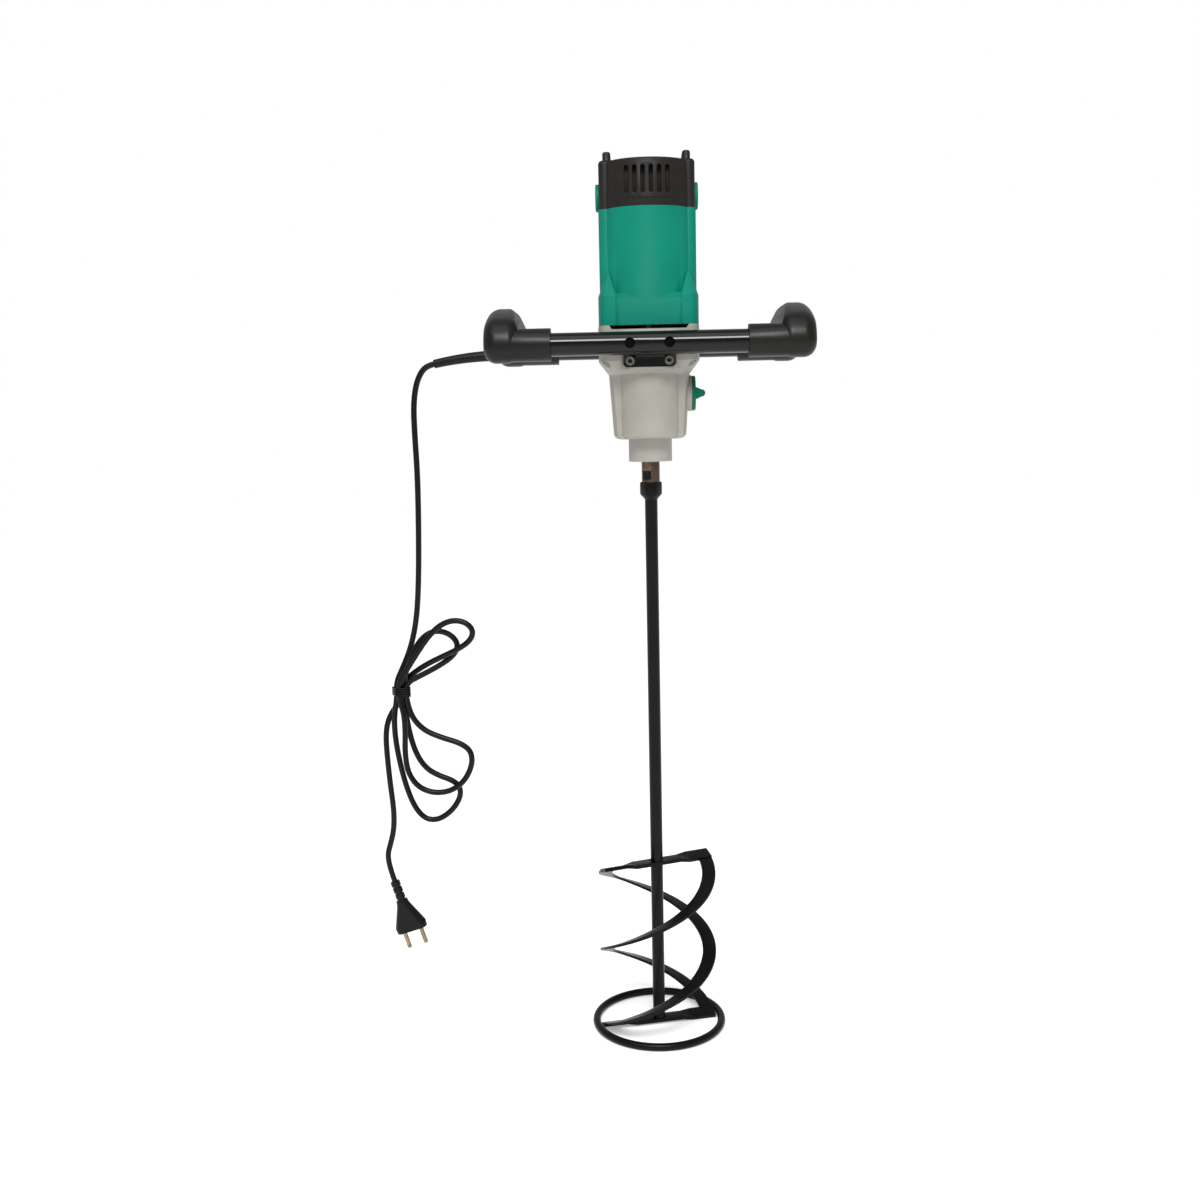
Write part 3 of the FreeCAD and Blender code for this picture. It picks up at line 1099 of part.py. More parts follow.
def switch_module():
    """Switch block held between the two halves of the left grip by its flange."""
    floor = switch_floor_z()
    flange_top = floor + SWITCH_FLANGE
    body = block(-SWITCH_X - SWITCH_HALF_WIDTH, SWITCH_HALF_WIDTH - SWITCH_X, -SWITCH_HALF_LENGTH,
                 SWITCH_HALF_LENGTH, floor, SWITCH_TOP_Z)
    flange = block(GRIP_WALL + FIT - GRIP_OUTER_X, -flank_x(flange_top) - flank_inset(GRIP_WALL) - FIT,
                   -SWITCH_HALF_LENGTH, SWITCH_HALF_LENGTH, floor, flange_top)
    return fused([body, flange])


def trigger_spring():
    """Return spring between trigger and switch."""
    centre = -(GRIP_INNER_X + GRIP_OUTER_X) / 2
    bottom = trigger_lip_z() + TRIGGER_LIP_HEIGHT + FIT
    return coil_spring(SPRING_RADIUS, SPRING_WIRE, SPRING_TURNS, V(centre, 0, bottom), Z_AXIS,
                       switch_floor_z() - FIT - bottom)


# Spindle, gears and shift
def spindle():
    """Output spindle: threaded stud, nose with spanner flats, journals and splines."""
    splines_bottom = LOW_GEAR_Z + LOW_GEAR_WIDTH + 1
    splines_top = HIGH_GEAR_Z - DOG_HEIGHT - 1
    top = INNER_PLATE_Z + TOP_BEARING_WIDTH
    pieces = [disc(SPINDLE_STUD_RADIUS, SPINDLE_NOSE_Z - SPINDLE_STUD_LENGTH, SPINDLE_NOSE_Z),
              disc(SPINDLE_NOSE_RADIUS, SPINDLE_NOSE_Z, SPINDLE_BEARING_Z - FIT),
              disc(SPINDLE_JOURNAL_RADIUS, SPINDLE_BEARING_Z - FIT, splines_bottom),
              disc(SPINDLE_SPLINE_ROOT, splines_bottom, INNER_PLATE_Z),
              disc(SPINDLE_TOP_RADIUS, INNER_PLATE_Z, top)]
    pieces += spline_keys(0, SPINDLE_JOURNAL_RADIUS, splines_bottom, splines_top)
    shaft = fused(pieces)
    for side in (-1, 1):
        near = side * SPINDLE_FLATS / 2
        far = side * (SPINDLE_NOSE_RADIUS + 1)
        flat = block(min(near, far), max(near, far), -SPINDLE_NOSE_RADIUS, SPINDLE_NOSE_RADIUS,
                     SPINDLE_FLATS_BOTTOM_Z, SPINDLE_FLATS_TOP_Z)
        shaft = shaft.cut(turned_about_z(flat, SPINDLE_FLATS_ANGLE))
    return shaft


def spline_keys(clearance, radius, bottom, top):
    """Keys of the spindle's splines, trimmed to a radius."""
    keys = []
    half = SPINDLE_SPLINE_WIDTH / 2 + clearance
    limit = disc(radius + clearance, bottom, top)
    for i in range(SPINDLE_SPLINES // 2):
        bar = block(-radius - 1, radius + 1, -half, half, bottom, top)
        keys.append(turned_about_z(bar, 360 * i / SPINDLE_SPLINES).common(limit))
    return keys


def low_gear():
    """First-speed gear on the spindle, with clutch dogs on its upper face."""
    top = LOW_GEAR_Z + LOW_GEAR_WIDTH
    blank = gear_blank(LOW_GEAR_TEETH, -PINION_SHIFT, LOW_GEAR_Z, top, 0, 90 + 180 / LOW_GEAR_TEETH)
    hub = disc(DOG_OUTER, COLLAR_LENGTH + GEARBOX_FLOOR + MOVING_GAP, LOW_GEAR_Z)
    bore = disc(SPINDLE_JOURNAL_RADIUS, 0, top + DOG_HEIGHT)
    return fused([blank, hub] + dogs(top, top + DOG_HEIGHT, 0)).cut(bore)


def high_gear():
    """Second-speed gear, free on the spindle, with clutch dogs on its lower face."""
    top = HIGH_GEAR_Z + HIGH_GEAR_WIDTH
    blank = gear_blank(HIGH_GEAR_TEETH, -PINION_SHIFT, HIGH_GEAR_Z, top, 0, 90 + 180 / HIGH_GEAR_TEETH)
    bore = disc(SPINDLE_SPLINE_ROOT + RUNNING, HIGH_GEAR_Z - DOG_HEIGHT, top)
    return fused([blank] + dogs(HIGH_GEAR_Z - DOG_HEIGHT, HIGH_GEAR_Z, 0)).cut(bore)


def shift_sleeve():
    """Dog sleeve that slides on the spindle's splines, with a groove for the fork."""
    top = SLEEVE_Z + SLEEVE_LENGTH
    groove_z = SELECTOR_Z - SELECTOR_PIN_OFFSET
    body = disc(SHIFT_SLEEVE_RADIUS, SLEEVE_Z, top)
    groove = ring(SHIFT_SLEEVE_RADIUS + 1, SHIFT_GROOVE_RADIUS, groove_z - SHIFT_GROOVE_WIDTH / 2,
                  groove_z + SHIFT_GROOVE_WIDTH / 2)
    lower = dogs(SLEEVE_Z - DOG_HEIGHT + MOVING_GAP, SLEEVE_Z, 180 / DOG_COUNT)
    upper = dogs(top, top + DOG_HEIGHT, 0)
    keyed = fused([disc(SPINDLE_SPLINE_ROOT + SLIDING, SLEEVE_Z - DOG_HEIGHT, top + DOG_HEIGHT)]
                  + spline_keys(SLIDING, SPINDLE_JOURNAL_RADIUS, SLEEVE_Z - DOG_HEIGHT, top + DOG_HEIGHT))
    return fused([body.cut(groove)] + lower + upper).cut(keyed)


def shift_fork():
    """Fork in the sleeve's groove, guided by its rod and moved by the selector's pin."""
    middle = SELECTOR_Z - SELECTOR_PIN_OFFSET
    low = middle - FORK_THICKNESS / 2
    high = middle + FORK_THICKNESS / 2
    inner = SHIFT_GROOVE_RADIUS + MOVING_GAP
    outer = SHIFT_SLEEVE_RADIUS + 4
    crescent = ring(outer, inner, low, high).cut(block(-outer, -inner / 2, -outer, outer, low, high))
    crescent = crescent.cut(block(-outer, 0, -inner, inner, low, high))
    arm = block(inner + 1, FORK_TAB_X + FORK_TAB_THICKNESS, -FORK_TAB_HALF, FORK_TAB_HALF, low, high)
    tab = block(FORK_TAB_X, FORK_TAB_X + FORK_TAB_THICKNESS, -FORK_TAB_HALF, FORK_TAB_HALF,
                middle - FORK_BOSS_LENGTH / 2, middle + FORK_BOSS_LENGTH / 2)
    boss = disc(FORK_BOSS_RADIUS, middle - FORK_BOSS_LENGTH / 2, middle + FORK_BOSS_LENGTH / 2, FORK_ROD_X,
                FORK_ROD_Y)
    web = block(FORK_ROD_X - FORK_BOSS_RADIUS, FORK_ROD_X + FORK_BOSS_RADIUS - 2, FORK_ROD_Y, 0, low, high)
    bore = disc(FORK_ROD_RADIUS + SLIDING, 0, INNER_PLATE_Z, FORK_ROD_X, FORK_ROD_Y)
    slot_half = SELECTOR_PIN_OFFSET + SELECTOR_PIN_RADIUS + MOVING_GAP
    slot_height = SELECTOR_PIN_RADIUS + FORK_SLOT_EXTRA
    slot = block(FORK_TAB_X - 1, FORK_TAB_X + FORK_TAB_THICKNESS + 1, -slot_half, slot_half, middle
                 - slot_height,
                 middle + slot_height)
    return cut_all(fused([crescent, arm, tab, boss, web]), [bore, slot])


def fork_rod():
    """Guide rod of the shift fork, seated in the gearbox floor and the inner plate."""
    floor = COLLAR_LENGTH + GEARBOX_FLOOR
    return disc(FORK_ROD_RADIUS, floor - FORK_ROD_SEAT, INNER_PLATE_Z + FORK_ROD_SEAT, FORK_ROD_X, FORK_ROD_Y)


def selector_knob():
    """Green selector: round disc with a blunt wing across it."""
    inner = SELECTOR_BOSS_X + MOVING_GAP
    face = inner + SELECTOR_DISC
    plate = rod(SELECTOR_RADIUS, V(inner, 0, SELECTOR_Z), V(face, 0, SELECTOR_Z))
    rim = [e for e in plate.Edges if level(e.BoundBox.XMin, e.BoundBox.XMax, face)]
    plate = plate.makeFillet(SELECTOR_RIM_ROUND, rim)
    base = SELECTOR_WING_BASE / 2
    tip = SELECTOR_WING_TIP / 2
    edges = [Part.makeLine(V(inner + 1, 0, SELECTOR_Z - base), V(face, 0, SELECTOR_Z - base)),
             Part.makeLine(V(face, 0, SELECTOR_Z - base), V(SELECTOR_WING_X - tip, 0, SELECTOR_Z - tip)),
             three_point(V(SELECTOR_WING_X - tip, 0, SELECTOR_Z - tip), V(SELECTOR_WING_X, 0, SELECTOR_Z),
                         V(SELECTOR_WING_X - tip, 0, SELECTOR_Z + tip)),
             Part.makeLine(V(SELECTOR_WING_X - tip, 0, SELECTOR_Z + tip), V(face, 0, SELECTOR_Z + base)),
             Part.makeLine(V(face, 0, SELECTOR_Z + base), V(inner + 1, 0, SELECTOR_Z + base)),
             Part.makeLine(V(inner + 1, 0, SELECTOR_Z + base), V(inner + 1, 0, SELECTOR_Z - base))]
    wing = Part.Face(Part.Wire(edges)).extrude(V(0, SELECTOR_WING_LENGTH, 0))
    wing.translate(V(0, -SELECTOR_WING_LENGTH / 2, 0))
    trim = rod(SELECTOR_RADIUS - 0.5, V(inner, 0, SELECTOR_Z), V(SELECTOR_WING_X + 1, 0, SELECTOR_Z))
    socket = rod(SELECTOR_SHAFT_RADIUS, V(inner, 0, SELECTOR_Z), V(face, 0, SELECTOR_Z))
    return fused([plate, wing.common(trim)]).cut(socket)


def selector_shaft():
    """Selector's shaft with its eccentric shift pin."""
    inner_wall = GEARBOX_HALF_BOTTOM - CASTING_WALL
    shaft = rod(SELECTOR_SHAFT_RADIUS, V(inner_wall - 1, 0, SELECTOR_Z),
                V(SELECTOR_BOSS_X + MOVING_GAP + SELECTOR_DISC, 0, SELECTOR_Z))
    pin_z = SELECTOR_Z - SELECTOR_PIN_OFFSET
    pin = rod(SELECTOR_PIN_RADIUS, V(SELECTOR_PIN_TIP_X, 0, pin_z), V(inner_wall, 0, pin_z))
    return fused([shaft, pin])


def countershaft():
    """Countershaft with its two pinions cut on it."""
    low_bottom = LOW_GEAR_Z - PINION_OVERLAP
    high_bottom = HIGH_GEAR_Z - PINION_OVERLAP
    low = gear_blank(LOW_PINION_TEETH, PINION_SHIFT, low_bottom, LOW_GEAR_Z + LOW_GEAR_WIDTH + PINION_OVERLAP,
                     CENTRE_DISTANCE, -90)
    high = gear_blank(HIGH_PINION_TEETH, PINION_SHIFT, high_bottom, HIGH_GEAR_Z + HIGH_GEAR_WIDTH
                      + PINION_OVERLAP,
                      CENTRE_DISTANCE, -90)
    floor = COLLAR_LENGTH + GEARBOX_FLOOR + MOVING_GAP
    gear_top = BIG_GEAR_Z + BIG_GEAR_WIDTH
    shafts = [disc(COUNTERSHAFT_JOURNAL, COUNTERSHAFT_BOTTOM_Z + 1, floor, 0, CENTRE_DISTANCE),
              disc(COUNTERSHAFT_RADIUS, floor, HIGH_GEAR_Z, 0, CENTRE_DISTANCE),
              disc(COUNTERSHAFT_SEAT, HIGH_GEAR_Z, gear_top + 2, 0, CENTRE_DISTANCE),
              disc(COUNTERSHAFT_JOURNAL, gear_top, BUSH_TOP_Z + BUSH_LENGTH - 1, 0, CENTRE_DISTANCE)]
    return fused(shafts + [low, high])


def countershaft_gear():
    """Big gear driven by the motor pinion, with a webbed hub."""
    top = BIG_GEAR_Z + BIG_GEAR_WIDTH
    gear = gear_blank(BIG_GEAR_TEETH, -PINION_SHIFT, BIG_GEAR_Z, top, CENTRE_DISTANCE, -90
                      + 180 / BIG_GEAR_TEETH)
    rim = GEAR_MODULE * (BIG_GEAR_TEETH / 2 - 4)
    recess = ring(rim, COUNTERSHAFT_SEAT + 3.5, BIG_GEAR_Z, BIG_GEAR_Z + 2, 0, CENTRE_DISTANCE)
    bore = disc(COUNTERSHAFT_SEAT, BIG_GEAR_Z, top, 0, CENTRE_DISTANCE)
    return cut_all(gear, [recess, bore])


def countershaft_bushes():
    """Plain bushes at both ends of the countershaft."""
    bottom = ring(BUSH_OUTER, COUNTERSHAFT_JOURNAL + RUNNING, COUNTERSHAFT_BOTTOM_Z,
                  COLLAR_LENGTH + GEARBOX_FLOOR, 0, CENTRE_DISTANCE)
    top = ring(BUSH_OUTER, COUNTERSHAFT_JOURNAL + RUNNING, BUSH_TOP_Z, BUSH_TOP_Z + BUSH_LENGTH, 0,
               CENTRE_DISTANCE)
    return Part.makeCompound([bottom, top])


def spindle_seal():
    """Lip seal in the collar's mouth."""
    return ring(SPINDLE_BEARING_OUTER, SPINDLE_NOSE_RADIUS + RUNNING, SEAL_Z, SEAL_Z + SEAL_WIDTH)


# Motor
def armature_shaft():
    """Armature shaft with the motor pinion cut on its lower end."""
    pinion_bottom = BIG_GEAR_Z - PINION_OVERLAP
    seat = MOTOR_PLATE_Z + MOTOR_PLATE_THICKNESS - MOTOR_BEARING_WIDTH
    pinion = gear_blank(MOTOR_PINION_TEETH, PINION_SHIFT, pinion_bottom, BIG_GEAR_Z + BIG_GEAR_WIDTH
                        + PINION_OVERLAP,
                        0, 90)
    lower = disc(GEAR_MODULE * (MOTOR_PINION_TEETH / 2 - 0.8), pinion_bottom, seat)
    journal = disc(MOTOR_BEARING_BORE, seat - FIT, seat + MOTOR_BEARING_WIDTH)
    middle = disc(ARMATURE_SHAFT_RADIUS, seat + MOTOR_BEARING_WIDTH + FIT, COMMUTATOR_TOP_Z + 1)
    neck = disc(MOTOR_BEARING_BORE, seat, seat + MOTOR_BEARING_WIDTH + 1)
    top = disc(ARMATURE_TOP_RADIUS, COMMUTATOR_TOP_Z, ARMATURE_TOP_BEARING_Z + ARMATURE_TOP_BEARING_WIDTH)
    return fused([pinion, lower, journal, neck, middle, top])


def rotor_slots():
    """Bars that fill the rotor's slots."""
    bars = []
    for i in range(ROTOR_SLOTS):
        bar = block(ROTOR_RADIUS - ROTOR_SLOT_DEPTH, ROTOR_RADIUS - 1, -ROTOR_SLOT_WIDTH / 2,
                    ROTOR_SLOT_WIDTH / 2,
                    ROTOR_BOTTOM_Z, ROTOR_TOP_Z)
        bars.append(turned_about_z(bar, 360 * i / ROTOR_SLOTS))
    return bars


def armature_core():
    """Laminated armature core with its slots."""
    core = ring(ROTOR_RADIUS, ARMATURE_SHAFT_RADIUS, ROTOR_BOTTOM_Z, ROTOR_TOP_Z)
    openings = []
    for i in range(ROTOR_SLOTS):
        mouth = block(ROTOR_RADIUS - 2, ROTOR_RADIUS + 1, -0.8, 0.8, ROTOR_BOTTOM_Z, ROTOR_TOP_Z)
        openings.append(turned_about_z(mouth, 360 * i / ROTOR_SLOTS))
    return core.cut(fused(rotor_slots() + openings))


def armature_windings():
    """Copper bars in the slots with their rounded end turns."""
    ends = []
    for bottom in (ROTOR_BOTTOM_Z - WINDING_HEIGHT, ROTOR_TOP_Z):
        end = ring(WINDING_RADIUS, ARMATURE_SHAFT_RADIUS, bottom, bottom + WINDING_HEIGHT)
        circles = [e for e in end.Edges if e.Curve.TypeId == "Part::GeomCircle"]
        rims = [e for e in circles if e.Curve.Radius > WINDING_RADIUS - 1]
        ends.append(end.makeFillet(WINDING_HEIGHT * 0.3, rims))
    return fused(ends + rotor_slots())


def commutator():
    """Commutator with its copper bars parted by slits."""
    body = ring(COMMUTATOR_RADIUS, ARMATURE_SHAFT_RADIUS, COMMUTATOR_BOTTOM_Z, COMMUTATOR_TOP_Z)
    slits = []
    for i in range(COMMUTATOR_BARS):
        slit = block(COMMUTATOR_RADIUS - 1, COMMUTATOR_RADIUS + 1, -COMMUTATOR_SLIT / 2, COMMUTATOR_SLIT / 2,
                     COMMUTATOR_BOTTOM_Z, COMMUTATOR_TOP_Z)
        slits.append(turned_about_z(slit, 360 * i / COMMUTATOR_BARS))
    return cut_all(body, slits)


def cooling_fan():
    """Radial fan: top disc, hub and straight blades."""
    top = FAN_BOTTOM_Z + FAN_HEIGHT
    plate = disc(FAN_RADIUS, top - FAN_DISC, top)
    hub = disc(FAN_HUB_RADIUS, FAN_BOTTOM_Z, top)
    blades = []
    for i in range(FAN_BLADES):
        blade = block(FAN_HUB_RADIUS - 1, FAN_RADIUS - 1, -FAN_BLADE_THICKNESS / 2, FAN_BLADE_THICKNESS / 2,
                      FAN_BOTTOM_Z, top)
        blades.append(turned_about_z(blade, 360 * i / FAN_BLADES))
    return fused([plate, hub] + blades).cut(disc(ARMATURE_SHAFT_RADIUS, FAN_BOTTOM_Z, top))


def pole_neck(half_x, half_extra_z):
    """Necks of the two field poles, front and rear."""
    reach = HOUSING_RADIUS - HOUSING_WALL - STATOR_YOKE / 2
    return block(-half_x, half_x, -reach, reach, ROTOR_BOTTOM_Z - half_extra_z, ROTOR_TOP_Z + half_extra_z)


def stator_core():
    """Laminated field core: round yoke with two poles and their shoes."""
    outer = HOUSING_RADIUS - HOUSING_WALL
    yoke = ring(outer, outer - STATOR_YOKE, ROTOR_BOTTOM_Z, ROTOR_TOP_Z)
    shoes = []
    for side in (-90, 90):
        shoe = Part.makeCylinder(STATOR_BORE + POLE_SHOE, ROTOR_TOP_Z - ROTOR_BOTTOM_Z,
                                 V(0, 0, ROTOR_BOTTOM_Z), Z_AXIS,
                                 POLE_ANGLE)
        shoes.append(turned_about_z(shoe, side - POLE_ANGLE / 2))
    return fused([yoke, pole_neck(POLE_NECK_HALF, 0)]
                 + shoes).cut(disc(STATOR_BORE, ROTOR_BOTTOM_Z, ROTOR_TOP_Z))


def field_coils():
    """Two field coils round the pole necks."""
    near = STATOR_BORE + POLE_SHOE + 0.3
    coil = block(-POLE_NECK_HALF - COIL_WIDTH, POLE_NECK_HALF + COIL_WIDTH, near, near + COIL_THICKNESS,
                 ROTOR_BOTTOM_Z - COIL_OVERHANG, ROTOR_TOP_Z + COIL_OVERHANG)
    corners = [e for e in coil.Edges if e.BoundBox.XLength < TOUCH and e.BoundBox.ZLength < TOUCH]
    coil = coil.makeFillet(COIL_WIDTH * 0.6, corners).cut(pole_neck(POLE_NECK_HALF, FIT))
    return both_sides(coil, Y_AXIS)


def brush_holders():
    """Insulated brush tubes through the cover's sides."""
    tube = rod(BRUSH_HOLDER_RADIUS, V(BRUSH_HOLDER_INNER_X, 0, BRUSH_Z), V(COVER_FLAT, 0, BRUSH_Z))
    shaft = block(BRUSH_HOLDER_INNER_X, COVER_FLAT - BRUSH_STEM_LENGTH, -BRUSH_WIDTH / 2, BRUSH_WIDTH / 2,
                  BRUSH_Z - BRUSH_HEIGHT / 2, BRUSH_Z + BRUSH_HEIGHT / 2)
    socket = rod(BRUSH_STEM_RADIUS + FIT, V(COVER_FLAT - BRUSH_STEM_LENGTH, 0, BRUSH_Z),
                 V(COVER_FLAT, 0, BRUSH_Z))
    return both_sides(cut_all(tube, [shaft, socket]), X_AXIS)


def carbon_brushes():
    """Two brushes with faces curved to the commutator."""
    brush = block(COMMUTATOR_RADIUS - 2, BRUSH_OUTER_X, FIT - BRUSH_WIDTH / 2, BRUSH_WIDTH / 2 - FIT,
                  BRUSH_Z - BRUSH_HEIGHT / 2 + FIT, BRUSH_Z + BRUSH_HEIGHT / 2 - FIT)
    return both_sides(brush.cut(disc(COMMUTATOR_RADIUS + 0.1, COMMUTATOR_BOTTOM_Z, COMMUTATOR_TOP_Z)), X_AXIS)


def brush_springs():
    """Coil springs behind the brushes."""
    length = COVER_FLAT - BRUSH_STEM_LENGTH - BRUSH_OUTER_X
    spring = coil_spring(BRUSH_WIDTH / 2 - 2 * SPRING_WIRE, SPRING_WIRE, SPRING_TURNS,
                         V(BRUSH_OUTER_X, 0, BRUSH_Z),
                         X_AXIS, length)
    return both_sides(spring, X_AXIS)


# Paddle
def paddle_shaft():
    """Paddle shaft with its hexagon, which screws on the spindle's stud."""
    hexagon_part = hexagon(HEX_FLATS, HEX_TAPER_Z, SPINDLE_NOSE_Z)
    corner = HEX_FLATS / math.sqrt(3)
    cone = Part.makeCone(PADDLE_SHAFT_RADIUS, corner, HEX_BOTTOM_Z - HEX_TAPER_Z, V(0, 0, HEX_TAPER_Z))
    limit = fused([cone, disc(corner, HEX_BOTTOM_Z, SPINDLE_NOSE_Z)])
    top_cone = Part.makeCone(corner + 1, corner - 1, 2, V(0, 0, SPINDLE_NOSE_Z - 2))
    head = hexagon_part.common(limit)
    head = head.common(fused([top_cone, disc(corner + 1, HEX_TAPER_Z, SPINDLE_NOSE_Z - 2)]))
    shaft = disc(PADDLE_SHAFT_RADIUS, RING_Z + BAR_THICKNESS / 2, HEX_BOTTOM_Z)
    thread = disc(SPINDLE_STUD_RADIUS + FIT, SPINDLE_NOSE_Z - SPINDLE_STUD_LENGTH, SPINDLE_NOSE_Z)
    return fused([head, shaft]).cut(thread)


def bar_section(x, twist):
    """Rectangular section of a crossbar at a distance from its middle."""
    half = BAR_WIDTH / 2
    thick = BAR_THICKNESS / 2
    c = math.cos(math.radians(twist))
    s = math.sin(math.radians(twist))
    corners = [(-half, -thick), (half, -thick), (half, thick), (-half, thick)]
    points = [V(x, y * c - z * s, y * s + z * c) for y, z in corners]
    return Part.makePolygon(points + [points[0]])


def crossbar(z, yaw):
    """Flat bar whose outer ends are twisted like a propeller."""
    flat = block(0, BAR_FLAT_HALF, -BAR_WIDTH / 2, BAR_WIDTH / 2, -BAR_THICKNESS / 2, BAR_THICKNESS / 2)
    twist = Part.makeLoft([bar_section(BAR_FLAT_HALF, 0), bar_section(BAR_TWIST_END, BAR_TWIST)], True, True)
    end = Part.Face(bar_section(BAR_TWIST_END, BAR_TWIST)).extrude(V(BAR_HALF - BAR_TWIST_END, 0, 0))
    arm = fused([flat, twist, end])
    bar = fused([arm, turned_about_z(arm, 180)])
    bar = turned_about_z(bar, yaw)
    bar.translate(V(0, 0, z))
    return bar


def paddle_top_bar():
    """Upper crossbar, bored for the shaft."""
    return crossbar(TOP_BAR_Z, TOP_BAR_YAW).cut(disc(PADDLE_SHAFT_RADIUS, TOP_BAR_Z - 20, TOP_BAR_Z + 20))


def paddle_ring():
    """Round rod bent to the paddle's ring."""
    return Part.makeTorus(RING_RADIUS, RING_ROD, V(0, 0, RING_Z))


def paddle_bottom_bar():
    """Lower crossbar, welded to the ring at its ends."""
    return crossbar(RING_Z, BOTTOM_BAR_YAW).cut(paddle_ring())


def paddle_blade(side):
    """Helical ribbon from the lower crossbar up to the upper one."""
    rise = TOP_BAR_Z - RING_Z
    turn = 360 + TOP_BAR_YAW - BOTTOM_BAR_YAW
    helix = Part.makeHelix(rise * 360 / turn, rise, (BLADE_INNER + BLADE_OUTER) / 2)
    half = BLADE_THICKNESS / 2
    corners = [V(BLADE_INNER, 0, -half), V(BLADE_OUTER, 0, -half), V(BLADE_OUTER, 0, half),
               V(BLADE_INNER, 0, half)]
    section = Part.makePolygon(corners + [corners[0]])
    blade = Part.Wire(helix.Edges).makePipeShell([section], True, True)
    blade = turned_about_z(blade, BOTTOM_BAR_YAW + side * 180)
    blade.translate(V(0, 0, RING_Z))
    return cut_all(blade, [paddle_top_bar(), paddle_bottom_bar(), paddle_ring()])


# Cord
def rounded_route(points):
    """Path of straight runs and the largest tangent arcs, with the arcs' radii."""
    edges = []
    radii = []
    start = points[0]
    for before, corner, after in zip(points, points[1:], points[2:]):
        arriving = (corner - before).normalize()
        leaving = (after - corner).normalize()
        half_turn = arriving.getAngle(leaving) / 2
        setback = CORD_SETBACK * min((corner - before).Length, (after - corner).Length)
        radius = setback / math.tan(half_turn)
        arc_start = corner - arriving * setback
        arc_end = corner + leaving * setback
        inward = (leaving - arriving).normalize()
        middle = corner + inward * (radius / math.cos(half_turn) - radius)
        edges += [Part.LineSegment(start, arc_start).toShape(), three_point(arc_start, middle, arc_end)]
        radii.append(radius)
        start = arc_end
    edges.append(Part.LineSegment(start, points[-1]).toShape())
    return Part.Wire(edges), radii


def cord_tube(points, name):
    """Tube of the cord along a route; prints its radii and checks its volume."""
    path, radii = rounded_route(points)
    section = Part.Wire([Part.makeCircle(CORD_DIAMETER / 2, points[0], points[1] - points[0])])
    tube = path.makePipeShell([section], True, False)
    expected = math.pi * CORD_DIAMETER ** 2 / 4 * path.Length
    print(name, "length %.0f, radii %.1f to %.1f, volume ratio %.4f"
          % (path.Length, min(radii), max(radii), tube.Volume / expected))
    return tube, path


def least_gap(path):
    """Smallest gap between stretches of one tube, measured on points of its path."""
    points = path.discretize(Distance=CORD_STEP)
    skip = int(4 * CORD_DIAMETER / CORD_STEP)
    least = min((a - b).Length for i, a in enumerate(points) for b in points[i + skip:])
    return least - CORD_DIAMETER


def vectors(route):
    """Vectors of a list of coordinates, with X measured from the strain relief."""
    return [V(BOOT_ROOT.x + x, y, z) for x, y, z in route]


def tie_run(strand, downward):
    """Straight run of one strand through the tie."""
    x, y = TIE_STRANDS[strand]
    ends = vectors([(x, y, TIE_Z + TIE_HALF_RUN), (x, y, TIE_Z - TIE_HALF_RUN)])
    return ends if downward else ends[::-1]


def hank_loop(before, after, loop):
    """Points of one loop between two runs through the tie, from a few sine waves."""
    reach, angle, width, bow, swell, waist, depth, slant = loop
    out = V(math.cos(math.radians(angle)), 0, math.sin(math.radians(angle)))
    side = V(-out.z, 0, out.x)
    points = []
    for i in range(1, LOOP_POINTS + 1):
        share = i / (LOOP_POINTS + 1)
        turn = math.pi * share
        along = reach * math.sin(turn) + swell * math.sin(3 * turn)
        across = width / 2 * math.sin(2 * turn) + bow * math.sin(turn) ** 2 + waist * math.sin(4 * turn)
        inward = depth * math.sin(turn) + slant * math.sin(2 * turn)
        base = before + (after - before) * share
        points.append(base + out * along + side * across + Y_AXIS * inward)
    return points


def plug_direction():
    """Direction from the cord into the plug."""
    tilt = math.radians(PLUG_TILT)
    return V(math.sin(tilt), 0, -math.cos(tilt))


def boot_centre(share):
    """Point on the strain relief's drooping centre line."""
    radius = BOOT_LENGTH / math.radians(BOOT_DROOP)
    angle = math.radians(BOOT_DROOP) * share
    return BOOT_ROOT + V(-radius * math.sin(angle), 0, -radius * (1 - math.cos(angle)))


def boot_heading(share):
    """Direction of the strain relief's centre line."""
    angle = math.radians(BOOT_DROOP) * share
    return V(-math.cos(angle), 0, -math.sin(angle))


def cord_boot():
    """Tapered strain relief with a flange inside the grip."""
    sections = []
    for share in (0, 0.33, 0.67, 1):
        radius = BOOT_ROOT_RADIUS + (BOOT_END_RADIUS - BOOT_ROOT_RADIUS) * share
        sections.append(Part.Wire([Part.makeCircle(radius, boot_centre(share), boot_heading(share))]))
    taper = Part.makeLoft(sections, True, False)
    flange = rod(BOOT_FLANGE_RADIUS, BOOT_ROOT + V(BOOT_FLANGE, 0, 0), BOOT_ROOT)
    return fused([taper, flange])


def hank_route():
    """Runs through the tie with a loop of the hank between each two."""
    loops = [LOWER_LOOP_BACK, UPPER_LOOP_BACK, LOWER_LOOP_FRONT, UPPER_LOOP_FRONT]
    route = tie_run(0, True)
    for i, loop in enumerate(loops):
        following = tie_run(i + 1, i % 2 == 1)
        route += hank_loop(route[-1], following[0], loop) + following
    return route


